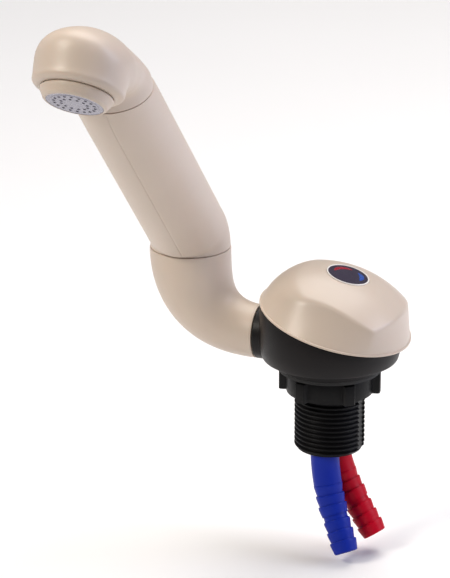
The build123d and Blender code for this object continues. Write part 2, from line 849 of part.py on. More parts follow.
def make_arm_clip():
    """Clip under the elbow's bearing."""
    return lower_plane * clip_ring(spigot_radius, -swivel_depth - clip_distance)


def make_water_tube():
    """Inner tube from the arm's spigot to the head's bearing."""
    foot = lower_seam_height + seam_gap + spigot_flange_thickness - tube_socket_depth
    bearing_low = -bearing_length + tube_socket_depth
    lean = radians(upper_seam_lean)
    end_y = -upper_seam_forward - bearing_low * sin(lean)
    end_z = upper_seam_height + bearing_low * cos(lean)
    turn_y = end_y + tube_upper_run * sin(lean)
    turn_z = end_z - tube_upper_run * cos(lean)
    start = (-spout_reach, 0, foot)
    first = (-spout_reach, 0, foot + tube_lower_run)
    second = (-spout_reach, turn_y, turn_z)
    end = (-spout_reach, end_y, end_z)
    path = FilletPolyline(start, first, second, end, radius=tube_bend_radius)
    section = Plane(origin=start, z_dir=(0, 0, 1))
    outside = sweep(section * Circle(tube_radius), path=path)
    inside = sweep(section * Circle(tube_radius - tube_wall), path=path)
    return outside - inside


def make_arm_bearing():
    """Plug at the top of the arm with the bearing for the head."""
    bearing = rod(bearing_radius, -bearing_disc, 0)
    bearing += rod(bearing_radius - bearing_sleeve_step, -bearing_length, 0)
    bearing -= rod(head_spigot_radius + running_clearance, -head_journal_depth, overrun)
    bearing -= rod(head_spigot_radius + bearing_recess_step, -head_recess_depth, -head_journal_depth)
    bearing -= rod(tube_radius - tube_wall, -bearing_length - overrun, -head_journal_depth)
    tube_end = -bearing_length + tube_socket_depth
    bearing -= rod(tube_radius + close_clearance, -bearing_length - overrun, tube_end)
    return upper_plane * bearing


# Head and rose

head_sections = (
    (18.0, 36.2, 18.5),
    (40.0, 30.2, 18.8),
    (62.0, 28.5, 19.5),
    (85.0, 31.5, 20.2),
    (105.0, 39.4, 21.1),
    (125.0, 47.6, 21.0),
)


def head_pivot():
    """Point under the head's inner bend that all its slanting sections share."""
    side = head_seam_radius + head_inner_bend
    lean = radians(upper_seam_lean)
    y = -upper_seam_forward - head_neck_length * sin(lean) - side * cos(lean)
    z = upper_seam_height + head_neck_length * cos(lean) - side * sin(lean)
    return y, z


rim_place = rose_plane * Pos(0, 0, -rim_bevel_length)


def oval(half_width, half_depth):
    """Oval outline as a squeezed circle, never quite round so that all sections are one kind."""
    return scale(Circle(half_width), by=(1, roundness * half_depth / half_width, 1))


def head_section(angle, far, half_width, inset):
    """Oval across the head, between the inner bend and its back."""
    y, z = head_pivot()
    middle = (head_inner_bend + far) / 2
    centre_y = y + middle * cos(radians(angle))
    centre_z = z + middle * sin(radians(angle))
    half_depth = (far - head_inner_bend) / 2
    return spout_plane(-centre_y, centre_z, angle) * oval(half_width - inset, half_depth - inset)


def head_solid(inset, gap):
    """Outer or inner form of the head: a short neck and two lofts that meet over the crown."""
    sections = []
    for angle, far, half_width in head_sections:
        sections.append(head_section(angle, far, half_width, inset))
    sections.append(rim_place * oval(head_rim_radius - inset, head_rim_radius - inset))
    seam_half = head_seam_radius - inset
    seam = upper_plane * Pos(0, 0, gap) * oval(seam_half, seam_half)
    y, z = head_pivot()
    crown = spout_plane(-y, z, head_sections[crown_section_index][0])
    size = 8 * head_rim_radius
    before = crown * Box(size, size, size, align=(Align.CENTER, Align.CENTER, Align.MAX))
    after = crown * Box(size, size, size, align=(Align.CENTER, Align.CENTER, Align.MIN))
    back = loft(sections[:crown_section_index + 2]) & before
    front = loft(sections[crown_section_index - 1:]) & after
    return loft([seam, sections[0]], ruled=True) + (back + front)


rose_neck_radius = rose_ring_radius - rose_neck_step
head_flange_radius = head_seam_radius - head_wall - flange_clearance - flange_margin


def make_spout_head():
    """Ivory hood that turns the water down into the rose."""
    rim = rim_place * oval(head_rim_radius, head_rim_radius)
    middle = rose_plane * Pos(0, 0, -rim_bevel_middle_length) * oval(rim_bevel_middle, rim_bevel_middle)
    bevel = loft([rim, middle, rose_plane * oval(rim_bevel_end, rim_bevel_end)], ruled=True)
    head = head_solid(0, seam_gap) + bevel
    head -= head_solid(head_wall, 0)
    seat_top = seam_gap + spigot_flange_thickness
    head -= upper_plane * rod(head_flange_radius + seat_clearance, 0, seat_top)
    bore = rose_neck_radius + seat_clearance
    return head - rose_plane * rod(bore, -rose_insert_depth, overrun)


def make_head_spigot():
    """Spigot of the head, in the arm's bearing."""
    low = seam_gap
    high = seam_gap + spigot_flange_thickness
    tip = -head_recess_depth + head_spigot_tip_gap
    spigot = rod(head_flange_radius, low, high) + rod(head_spigot_radius, tip, low)
    spigot -= seal_groove(head_spigot_radius, -head_journal_depth / 2)
    spigot -= clip_groove(head_spigot_radius, -head_journal_depth - clip_distance)
    spigot -= rod(tube_radius - tube_wall, -bearing_length, high + overrun)
    return upper_plane * spigot


def make_head_o_ring():
    """Seal on the head's spigot."""
    return upper_plane * o_ring(head_spigot_radius, -head_journal_depth / 2)


def make_head_clip():
    """Clip below the arm's bearing."""
    return upper_plane * clip_ring(head_spigot_radius, -head_journal_depth - clip_distance)


def make_rose_ring():
    """Ivory ring that screws into the head and holds the rose."""
    bottom = (Align.CENTER, Align.CENTER, Align.MIN)
    face = Cone(rose_ring_radius, rose_face_radius, rose_projection - seam_gap, align=bottom)
    face = Pos(0, 0, seam_gap) * face
    face = fillet(face.edges().sort_by(Axis.Z)[-1], rose_edge_round)
    body = face + rod(rose_neck_radius, -rose_insert_depth + rose_insert_gap, rose_projection / 2)
    seat = rose_projection - rose_plate_thickness - rose_plate_recess
    body -= rod(rose_plate_radius + running_clearance, seat, rose_projection + overrun)
    body -= rod(rose_plate_radius - rose_ledge, -rose_insert_depth, rose_projection)
    return rose_plane * body


def make_rose_plate():
    """Plate with two rings of jets."""
    high = rose_projection - rose_plate_recess
    low = high - rose_plate_thickness
    plate = rod(rose_plate_radius, low, high)
    for circle, count in ((outer_jet_circle, outer_jet_count), (inner_jet_circle, inner_jet_count)):
        for index in range(count):
            x, y = polar(circle, index * 360 / count)
            plate -= Pos(x, y, 0) * rod(jet_radius, low - overrun, high + overrun)
    return rose_plane * plate


rose_gasket_top = rose_projection - rose_plate_recess - rose_plate_thickness


def make_rose_gasket():
    """Seal behind the plate, inside the ring."""
    outer = rose_plate_radius - rose_ledge - rose_ledge_clearance
    low = rose_gasket_top - rose_gasket_thickness
    return rose_plane * ring(outer, outer - rose_gasket_width, low, rose_gasket_top)


def make_rose_strainer():
    """Sieve disc behind the gasket."""
    outer = rose_plate_radius - rose_ledge - rose_ledge_clearance
    high = rose_gasket_top - rose_gasket_thickness
    disc = rod(outer, high - strainer_thickness, high)
    hole = rod(strainer_hole_radius, high - overrun - strainer_thickness, high + overrun)
    for index in range(strainer_hole_count):
        x, y = polar(outer / 2, index * 360 / strainer_hole_count)
        disc -= Pos(x, y, 0) * hole
    return rose_plane * disc


nodes = {
    "tap_body": make_tap_body,
    "deck_gasket": make_deck_gasket,
    "slip_washer": make_slip_washer,
    "mounting_nut": make_mounting_nut,
    "cold_tail": make_cold_tail,
    "hot_tail": make_hot_tail,
    "tail_o_rings": make_tail_o_rings,
    "valve_block": make_valve_block,
    "cartridge_case": make_cartridge_case,
    "cartridge_seal": make_cartridge_seal,
    "fixed_disc": make_fixed_disc,
    "moving_disc": make_moving_disc,
    "spindle": make_spindle,
    "cartridge_ring": make_cartridge_ring,
    "knob_shell": make_knob_shell,
    "knob_hub": make_knob_hub,
    "knob_screw": make_knob_screw,
    "badge_bezel": make_badge_bezel,
    "badge_disc": make_badge_disc,
    "outlet_collar": make_outlet_collar,
    "elbow": make_elbow,
    "elbow_spigot": make_elbow_spigot,
    "outlet_o_rings": make_outlet_o_rings,
    "outlet_clip": make_outlet_clip,
    "spout_arm": make_spout_arm,
    "arm_spigot": make_arm_spigot,
    "arm_o_rings": make_arm_o_rings,
    "arm_clip": make_arm_clip,
    "water_tube": make_water_tube,
    "arm_bearing": make_arm_bearing,
    "spout_head": make_spout_head,
    "head_spigot": make_head_spigot,
    "head_o_ring": make_head_o_ring,
    "head_clip": make_head_clip,
    "rose_ring": make_rose_ring,
    "rose_plate": make_rose_plate,
    "rose_gasket": make_rose_gasket,
    "rose_strainer": make_rose_strainer,
}

os.makedirs("parts", exist_ok=True)
for name, make in nodes.items():
    export_step(make(), f"parts/{name}.step")
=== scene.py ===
"""Mixer tap with a folding swivel spout: the dressed model, its studio and its camera."""
import logging
import math
from collections.abc import Callable, Sequence
from dataclasses import dataclass
from enum import Enum
from functools import cache
from typing import Any

import bmesh
import bpy
from mathutils import Matrix, Vector


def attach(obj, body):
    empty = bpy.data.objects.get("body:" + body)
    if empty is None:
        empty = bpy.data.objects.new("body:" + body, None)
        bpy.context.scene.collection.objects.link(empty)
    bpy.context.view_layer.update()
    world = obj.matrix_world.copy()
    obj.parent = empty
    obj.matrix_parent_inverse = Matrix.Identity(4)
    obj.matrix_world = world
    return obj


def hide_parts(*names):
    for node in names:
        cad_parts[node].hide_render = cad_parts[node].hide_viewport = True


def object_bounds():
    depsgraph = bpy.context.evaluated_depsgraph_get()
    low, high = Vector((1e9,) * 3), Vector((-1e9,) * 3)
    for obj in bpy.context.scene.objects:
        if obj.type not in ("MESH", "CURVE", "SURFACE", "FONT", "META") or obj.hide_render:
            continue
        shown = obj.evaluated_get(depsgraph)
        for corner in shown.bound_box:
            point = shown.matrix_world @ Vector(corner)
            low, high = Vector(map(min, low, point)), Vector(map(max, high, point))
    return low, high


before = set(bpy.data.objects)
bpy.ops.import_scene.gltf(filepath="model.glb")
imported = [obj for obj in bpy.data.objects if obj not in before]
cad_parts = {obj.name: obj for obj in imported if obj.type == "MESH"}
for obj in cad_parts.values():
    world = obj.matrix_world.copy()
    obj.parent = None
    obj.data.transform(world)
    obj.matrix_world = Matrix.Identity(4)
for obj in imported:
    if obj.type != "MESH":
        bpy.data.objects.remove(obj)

CAD_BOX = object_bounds()
MM = 0.001
log = logging.getLogger("mixer_tap")

Ring = list[Vector]
Pair = tuple[float, float]
Outline = Sequence[Pair]
Angles = Sequence[float]


# Shader helpers

# Places of the colour sockets on the mix node, which has several of the same name
MIX_A, MIX_B, MIX_RESULT = 6, 7, 2


def linear(colour: str) -> tuple[float, float, float, float]:
    """Turns an sRGB hex colour to linear light.

    Args:
        colour: six hex digits after a hash sign.

    Returns:
        Red, green, blue and an alpha of one.
    """
    digits = colour.lstrip("#")
    channels = [int(digits[start:start + 2], 16) / 255 for start in (0, 2, 4)]
    low = [value / 12.92 if value <= 0.04045 else ((value + 0.055) / 1.055) ** 2.4 for value in channels]
    return (low[0], low[1], low[2], 1.0)


def add_node(
    tree: bpy.types.NodeTree,
    kind: str,
    settings: dict[str, Any] | None = None,
    inputs: dict[str | int, Any] | None = None,
) -> bpy.types.Node:
    """Adds a shader node with its settings, its fixed values and its links.

    Args:
        tree: node tree that takes the node.
        kind: Blender's name for the kind of node.
        settings: properties of the node itself.
        inputs: values for its sockets, or output sockets to link to them.

    Returns:
        The new node.
    """
    node = tree.nodes.new(kind)
    for key, value in (settings or {}).items():
        setattr(node, key, value)
    for key, value in (inputs or {}).items():
        if isinstance(value, bpy.types.NodeSocket):
            tree.links.new(value, node.inputs[key])
        else:
            node.inputs[key].default_value = value
    return node


def new_tree(name: str) -> tuple[bpy.types.Material, bpy.types.NodeTree]:
    """Makes an empty node material.

    Args:
        name: the material's name.

    Returns:
        The material and its cleared tree.
    """
    material = bpy.data.materials.new(name)
    material.use_nodes = True
    material.node_tree.nodes.clear()
    return material, material.node_tree


class Gloss(Enum):
    """How a moulded or turned surface was left, as the shader's roughness."""

    POLISHED = 0.16
    BRIGHT = 0.27
    SILK = 0.34
    SATIN = 0.42
    GRAINED = 0.52
    DULL = 0.7


@dataclass(frozen=True)
class MouldedPlastic:
    """Injection-moulded plastic.

    The tool's eroded grain breaks the highlight into a soft satin glow, and the melt's
    flow leaves a faint unevenness of colour a few centimetres across. Real grain is about
    0.05 mm, too fine to show, so each finish draws it as coarse as it needs to show.
    """

    name: str
    colour: str
    flow_colour: str
    gloss: Gloss = Gloss.SATIN
    ior: float = 1.49
    grain_mm: float = 0.45
    grain_depth_mm: float = 0.012
    flow_mm: float = 26.0
    gloss_spread: float = 0.07
    depth_of_light: float = 0.0
    light_path_mm: float = 2.0
    shine: float = 0.5
    grain_strength: float = 0.7
    grain_range: Pair = (0.3, 0.7)

    def build(self) -> bpy.types.Material:
        """Makes the node material.

        Returns:
            The material, with flow in its colour and grain in its gloss and relief.
        """
        material, tree = new_tree(self.name)
        place = add_node(tree, "ShaderNodeTexCoord").outputs["Object"]
        flow = add_node(tree, "ShaderNodeTexNoise", inputs={
            "Vector": place, "Scale": 1 / (self.flow_mm * MM), "Detail": 3.0, "Roughness": 0.55,
        })
        tone = add_node(tree, "ShaderNodeMix", {"data_type": "RGBA"}, {
            "Factor": flow.outputs["Fac"], MIX_A: linear(self.colour), MIX_B: linear(self.flow_colour),
        })
        grain = add_node(tree, "ShaderNodeTexNoise", inputs={
            "Vector": place, "Scale": 1 / (self.grain_mm * MM), "Detail": 2.0, "Roughness": 0.6,
        })
        rough = add_node(tree, "ShaderNodeMapRange", inputs={
            "Value": grain.outputs["Fac"], "From Min": self.grain_range[0], "From Max": self.grain_range[1],
            "To Min": self.gloss.value - self.gloss_spread, "To Max": self.gloss.value + self.gloss_spread,
        })
        bump = add_node(tree, "ShaderNodeBump", inputs={
            "Strength": self.grain_strength, "Distance": self.grain_depth_mm * MM,
            "Height": grain.outputs["Fac"],
        })
        shader = add_node(tree, "ShaderNodeBsdfPrincipled", inputs={
            "Base Color": tone.outputs[MIX_RESULT], "Roughness": rough.outputs["Result"],
            "Normal": bump.outputs["Normal"], "IOR": self.ior,
            "Subsurface Weight": self.depth_of_light, "Subsurface Scale": self.light_path_mm * MM,
            "Specular IOR Level": self.shine,
        })
        add_node(tree, "ShaderNodeOutputMaterial", inputs={"Surface": shader.outputs["BSDF"]})
        return material


@dataclass(frozen=True)
class TurnedMetal:
    """Turned or drawn metal.

    Fine tool lines along one axis stretch the highlight, with a little tarnish between them.
    Real tool lines are about 0.1 mm apart and are drawn about three times coarser to show.
    """

    name: str
    colour: str
    tarnish: str
    gloss: Gloss = Gloss.BRIGHT
    line_mm: float = 0.35
    line_depth_mm: float = 0.006
    line_strength: float = 0.5
    line_stretch: float = 0.08
    clouds_per_metre: float = 140.0
    gloss_range: Pair = (-0.06, 0.12)

    def build(self) -> bpy.types.Material:
        """Makes the node material.

        Returns:
            The material, with tarnish in its colour and gloss and tool lines in its relief.
        """
        material, tree = new_tree(self.name)
        place = add_node(tree, "ShaderNodeTexCoord").outputs["Object"]
        stretch = add_node(tree, "ShaderNodeMapping", inputs={
            "Vector": place, "Scale": (self.line_stretch, self.line_stretch, 1.0),
        })
        lines = add_node(tree, "ShaderNodeTexNoise", inputs={
            "Vector": stretch.outputs["Vector"], "Scale": 1 / (self.line_mm * MM), "Detail": 3.0,
        })
        cloud = add_node(tree, "ShaderNodeTexNoise", inputs={
            "Vector": place, "Scale": self.clouds_per_metre, "Detail": 4.0,
        })
        tone = add_node(tree, "ShaderNodeMix", {"data_type": "RGBA"}, {
            "Factor": cloud.outputs["Fac"], MIX_A: linear(self.colour), MIX_B: linear(self.tarnish),
        })
        rough = add_node(tree, "ShaderNodeMapRange", inputs={
            "Value": cloud.outputs["Fac"], "To Min": self.gloss.value + self.gloss_range[0],
            "To Max": self.gloss.value + self.gloss_range[1],
        })
        bump = add_node(tree, "ShaderNodeBump", inputs={
            "Strength": self.line_strength, "Distance": self.line_depth_mm * MM,
            "Height": lines.outputs["Fac"],
        })
        shader = add_node(tree, "ShaderNodeBsdfPrincipled", inputs={
            "Base Color": tone.outputs[MIX_RESULT], "Metallic": 1.0, "Roughness": rough.outputs["Result"],
            "Normal": bump.outputs["Normal"],
        })
        add_node(tree, "ShaderNodeOutputMaterial", inputs={"Surface": shader.outputs["BSDF"]})
        return material


Surface = MouldedPlastic | TurnedMetal


class Finish:
    """The finishes of the tap, each named for what the real part is made of; jet_shadow is painted shade in
    the jets' mouths.
    """

    # ASA moulded in an eroded tool: ivory and satin, with wide soft highlights
    IVORY_ASA = MouldedPlastic(
        "ivory_asa", "#c9b9aa", "#c2b2a3", Gloss.SATIN, grain_mm=0.5, grain_depth_mm=0.012,
        depth_of_light=0.04,
    )
    # The same ASA from a polished tool, on the knob: a brighter and smaller highlight
    POLISHED_ASA = MouldedPlastic(
        "polished_ivory_asa", "#c9b9a9", "#c3b3a3", Gloss.SILK, grain_mm=0.5, grain_depth_mm=0.004,
        gloss_spread=0.04, depth_of_light=0.04,
    )
    # Moulded glass-filled nylon: near black with a slightly brown satin
    BLACK_NYLON = MouldedPlastic(
        "black_nylon", "#120e0f", "#0e0b0c", Gloss.SATIN, ior=1.53, grain_mm=0.6, grain_depth_mm=0.01,
        shine=0.2,
    )
    # Moulded acetal: black and waxy, with narrow highlights on the lugs and the thread
    BLACK_ACETAL = MouldedPlastic(
        "black_acetal", "#09090a", "#0c0c0d", Gloss.SATIN, ior=1.48, grain_mm=1.4, grain_depth_mm=0.006,
        shine=0.15,
    )
    # Moulded polypropylene, dyed through: a clear waxy colour with a soft shine
    BLUE_POLYPROPYLENE = MouldedPlastic(
        "blue_polypropylene", "#0f2696", "#132a94", Gloss.SATIN, grain_mm=0.9, flow_mm=9.0, shine=0.15,
    )
    RED_POLYPROPYLENE = MouldedPlastic(
        "red_polypropylene", "#ba0021", "#ae001e", Gloss.SATIN, grain_mm=0.9, flow_mm=9.0, shine=0.15,
    )
    # Undyed moulded acetal of the inner works: milky and smooth
    NATURAL_ACETAL = MouldedPlastic(
        "natural_acetal", "#cfcbc0", "#c5c1b5", Gloss.SATIN, ior=1.48, grain_mm=0.7, depth_of_light=0.05,
    )
    # Moulded nitrile rubber: dark and dull, with a dry grain
    NITRILE = MouldedPlastic(
        "nitrile_rubber", "#0f0f0f", "#151413", Gloss.DULL, ior=1.52, grain_mm=0.35, grain_depth_mm=0.02,
        flow_mm=6.0,
    )
    # Lapped alumina: white, dense and nearly polished
    ALUMINA = MouldedPlastic(
        "lapped_alumina", "#ece8df", "#e4dfd4", Gloss.POLISHED, ior=1.76, grain_mm=0.3,
        grain_depth_mm=0.002, gloss_spread=0.03,
    )
    # ABS of the rose, moulded in a polished tool: bluish grey and smooth
    ROSE_ABS = MouldedPlastic(
        "rose_abs", "#8f8c9c", "#878594", Gloss.BRIGHT, ior=1.54, grain_mm=0.7, grain_depth_mm=0.006,
        flow_mm=8.0,
    )
    # Moulded silicone of the jets: a darker, duller grey that wipes clean
    JET_SILICONE = MouldedPlastic(
        "jet_silicone", "#75727f", "#6c6a76", Gloss.GRAINED, ior=1.43, grain_mm=0.2, grain_depth_mm=0.004,
        flow_mm=3.0,
    )
    # Painted shade: near-black dull silicone discs in the jets' mouths stand for the shade inside the holes
    JET_SHADOW = MouldedPlastic(
        "jet_shadow", "#202026", "#1a1a20", Gloss.DULL, ior=1.43, grain_mm=0.3, grain_depth_mm=0.002,
        flow_mm=2.0,
    )
    # Acrylic of the badge, printed from behind: dark slate under a clear shiny face
    BADGE_ACRYLIC = MouldedPlastic(
        "badge_acrylic", "#3a3344", "#302a3a", Gloss.POLISHED, grain_mm=0.5, grain_depth_mm=0.003,
        flow_mm=7.0, gloss_spread=0.04,
    )
    # Enamel paint of the two marks: full colour, bright, with a faint brushed unevenness
    RED_ENAMEL = MouldedPlastic(
        "red_enamel", "#96182c", "#8b1629", Gloss.BRIGHT, grain_mm=0.3, grain_depth_mm=0.004, flow_mm=3.0,
    )
    BLUE_ENAMEL = MouldedPlastic(
        "blue_enamel", "#284f9e", "#244791", Gloss.BRIGHT, grain_mm=0.3, grain_depth_mm=0.004, flow_mm=3.0,
    )
    # Sprayed pearl lacquer of the bezel: pale, with a clear bright edge
    PEARL_LACQUER = MouldedPlastic(
        "pearl_lacquer", "#eee9e2", "#e6e0d8", Gloss.BRIGHT, grain_mm=0.3, grain_depth_mm=0.004, flow_mm=5.0,
    )
    # Turned free-cutting brass: warm yellow with light tarnish
    BRASS = TurnedMetal("turned_brass", "#c9a45c", "#a98645")
    # Drawn and stamped stainless steel: cool grey with fine bright lines
    STAINLESS = TurnedMetal("stainless_steel", "#b9bcc0", "#a3a6aa", Gloss.BRIGHT, line_mm=0.25)
    # Matt paper of the studio sweep: even and nearly white
    SWEEP_PAPER = MouldedPlastic(
        "sweep_paper", "#f6f5f3", "#f2f1ef", Gloss.DULL, grain_mm=2.5, grain_depth_mm=0.01, flow_mm=300.0,
    )


@cache
def paint(finish: Surface) -> bpy.types.Material:
    """Node material of a finish, built at the first call."""
    return finish.build()


# Mesh helpers, all in millimetres

CREASE = 32.0
OUTSIDE_ROWS = 9
INSIDE_ROWS = 5
TINY = 1e-6


def polar(radius: float, angle: float, height: float = 0.0) -> Vector:
    """Point at a radius, an angle in degrees and a height."""
    turn = math.radians(angle)
    return Vector((radius * math.cos(turn), radius * math.sin(turn), height))


@dataclass(frozen=True)
class Station:
    """A plane with its own x, y and z directions, on which rings and outlines are laid."""

    origin: Vector
    x: Vector
    z: Vector

    @property
    def y(self) -> Vector:
        """Third direction of the plane."""
        return self.z.cross(self.x)

    def point(self, x: float, y: float, z: float = 0.0) -> Vector:
        """Point of the plane's own frame, in the tap's frame."""
        return self.origin + self.x * x + self.y * y + self.z * z

    def moved(self, distance: float) -> "Station":
        """The same plane, moved along its normal."""
        return Station(self.origin + self.z * distance, self.x, self.z)

    def oval(self, half_width: float, half_depth: float, angles: Angles) -> Ring:
        """Ring of points on an oval, at angles in degrees."""
        turns = [math.radians(angle) for angle in angles]
        return [self.point(half_width * math.cos(turn), half_depth * math.sin(turn)) for turn in turns]

    def circle(self, radius: float, angles: Angles) -> Ring:
        """Ring of points on a circle."""
        return self.oval(radius, radius, angles)

    def stack(self, outline: Outline, angles: Angles) -> list[Ring]:
        """Circles at the radius and height pairs of an outline."""
        return [self.moved(height).circle(radius, angles) for radius, height in outline]


def even_angles(count: int) -> list[float]:
    """Angles of a ring with equal steps, in degrees."""
    return [360 * index / count for index in range(count)]


def spread(start: float, end: float, steps: int) -> list[float]:
    """Evenly spaced values from start to end, both included."""
    return [start + (end - start) * index / steps for index in range(steps + 1)]


def link(name: str, data: bpy.types.ID) -> bpy.types.Object:
    """Makes an object and links it to the scene.

    Args:
        name: the object's name.
        data: its mesh, lamp or camera.

    Returns:
        The linked object.
    """
    thing = bpy.data.objects.new(name, data)
    bpy.context.scene.collection.objects.link(thing)
    return thing


def shaded(name: str, mesh: bpy.types.Mesh, crease: float) -> bpy.types.Object:
    """Shades a mesh and links it as an object.

    Args:
        name: the piece's name.
        mesh: its mesh, which becomes smooth.
        crease: edges that turn by more than this angle stay sharp.

    Returns:
        The linked object.
    """
    mesh.shade_smooth()
    mesh.set_sharp_from_angle(angle=math.radians(crease))
    return link(name, mesh)


def through(keys: Sequence[Ring], steps: int) -> list[Ring]:
    """Runs a smooth curve through each column of a list of rings.

    Args:
        keys: rings with the same number of points, in order along the piece.
        steps: rings to make between two keys.

    Returns:
        The close-set rings, keys included.
    """
    result: list[Ring] = []
    last = len(keys) - 1
    for index in range(last):
        before, after = keys[max(index - 1, 0)], keys[min(index + 2, last)]
        here, there = keys[index], keys[index + 1]
        for step in range(steps):
            share = step / steps
            ring = []
            for a, b, c, d in zip(before, here, there, after):
                gap = max((c - b).length, TINY)
                lead = (c - a) * (gap / max((b - a).length + gap, TINY)) if index else c - b
                trail = (d - b) * (gap / max((d - c).length + gap, TINY)) if index + 1 < last else c - b
                s2, s3 = share * share, share ** 3
                ring.append(
                    b * (2 * s3 - 3 * s2 + 1) + lead * (s3 - 2 * s2 + share)
                    + c * (3 * s2 - 2 * s3) + trail * (s3 - s2)
                )
            result.append(ring)
    result.append(list(keys[-1]))
    return result


def skin(
    name: str, rings: Sequence[Ring], closed: bool = True, crease: float = CREASE
) -> bpy.types.Object:
    """Skins a list of rings into one mesh object.

    Args:
        name: the piece's name.
        rings: rings with the same number of points, in millimetres.
        closed: whether the last ring joins the first, as in a hollow piece. If it doesn't,
            both ends get a face.
        crease: edges that turn by more than this angle stay sharp.

    Returns:
        The linked object, in metres.
    """
    count = len(rings[0])
    points = [tuple(point * MM) for ring in rings for point in ring]
    faces: list[tuple[int, ...]] = []
    rows = len(rings) if closed else len(rings) - 1
    for row in range(rows):
        low, high = row * count, ((row + 1) % len(rings)) * count
        for index in range(count):
            after = (index + 1) % count
            faces.append((low + index, low + after, high + after, high + index))
    if not closed:
        faces.append(tuple(reversed(range(count))))
        faces.append(tuple(range((len(rings) - 1) * count, len(rings) * count)))
    mesh = bpy.data.meshes.new(name)
    mesh.from_pydata(points, [], faces)
    tidy = bmesh.new()
    tidy.from_mesh(mesh)
    bmesh.ops.recalc_face_normals(tidy, faces=tidy.faces)
    tidy.to_mesh(mesh)
    tidy.free()
    return shaded(name, mesh, crease)


def turned(name: str, place: Station, outline: Outline, count: int) -> bpy.types.Object:
    """Turns a closed outline of radius and height points round a station's axis."""
    return skin(name, place.stack(outline, even_angles(count)))


def join(name: str, parts: Sequence[bpy.types.Object]) -> bpy.types.Object:
    """Joins new objects into one piece.

    Args:
        name: name of the joined piece.
        parts: the objects, which are used up.

    Returns:
        The joined object.
    """
    whole = bmesh.new()
    for part in parts:
        whole.from_mesh(part.data)
    mesh = bpy.data.meshes.new(name)
    whole.to_mesh(mesh)
    whole.free()
    for part in parts:
        bpy.data.objects.remove(part)
    return shaded(name, mesh, CREASE)


def arc_points(centre: Pair, radius: float, start: float, end: float, steps: int) -> list[Pair]:
    """Points of an arc of an outline, from one angle to another in degrees."""
    turns = [math.radians(angle) for angle in spread(start, end, steps)]
    return [(centre[0] + radius * math.cos(t), centre[1] + radius * math.sin(t)) for t in turns]


def fit(
    piece: bpy.types.Object, body: str, finish: Surface, replaced: Sequence[str] = ()
) -> None:
    """Gives a new piece its finish, its body and the solids that it stands for.

    Args:
        piece: the new object.
        body: the moving body that it rides on.
        finish: what it is made of.
        replaced: names of the solids that it hides.
    """
    piece.data.materials.append(paint(finish))
    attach(piece, body)
    if replaced:
        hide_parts(*replaced)
    log.info("%s rides on %s", piece.name, body)


def dress(node: str, finish: Surface) -> None:
    """Gives a solid of the part its finish in every slot.

    Args:
        node: the solid's name.
        finish: what it is made of.
    """
    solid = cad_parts[node]
    if not solid.material_slots:
        solid.data.materials.append(paint(finish))
    for slot in solid.material_slots:
        slot.material = paint(finish)
    log.info("%s dressed in %s", node, finish.name)


# Stations that several pieces share

UPRIGHT = Station(Vector((0, 0, 0)), Vector((1, 0, 0)), Vector((0, 0, 1)))
KNOB_TILT = math.radians(15.0)
KNOB_SEAT = Station(
    Vector((2.3, 0, 24.5)),
    Vector((math.cos(KNOB_TILT), 0, -math.sin(KNOB_TILT))),
    Vector((math.sin(KNOB_TILT), 0, math.cos(KNOB_TILT))),
)
OUTLET = Station(Vector((0, 0, 14.1)), Vector((0, 0, 1)), Vector((-1, 0, 0)))
SPOUT_REACH = 69.8
SEAM_GAP = 0.4
SEAM_SOFTNESS = 0.35
SEAM_TURN = 0.1


def spout_station(forward: float, height: float, lean: float) -> Station:
    """Station across the spout, so far in front of the outlet and up, leaning forward in degrees."""
    upwards = Vector((0, -math.sin(math.radians(lean)), math.cos(math.radians(lean))))
    return Station(Vector((-SPOUT_REACH, -forward, height)), Vector((1, 0, 0)), upwards)


def seam_edge(place: Station, radius: float, angles: Angles, side: int) -> list[Ring]:
    """Two rings that soften an edge at a seam, where a piece starts (side 1) or ends (side -1)."""
    edge = ((radius - SEAM_SOFTNESS, 0.0), (radius - SEAM_TURN, side * SEAM_TURN))
    return place.stack(edge, angles)[::side]


LOWER_SEAM = spout_station(0, 52.6, 0)
UPPER_SEAM = spout_station(98.2, 156.3, 18)
ROSE_SEAT = spout_station(138.9, 166.7, 143.5)


# Sub-assemblies


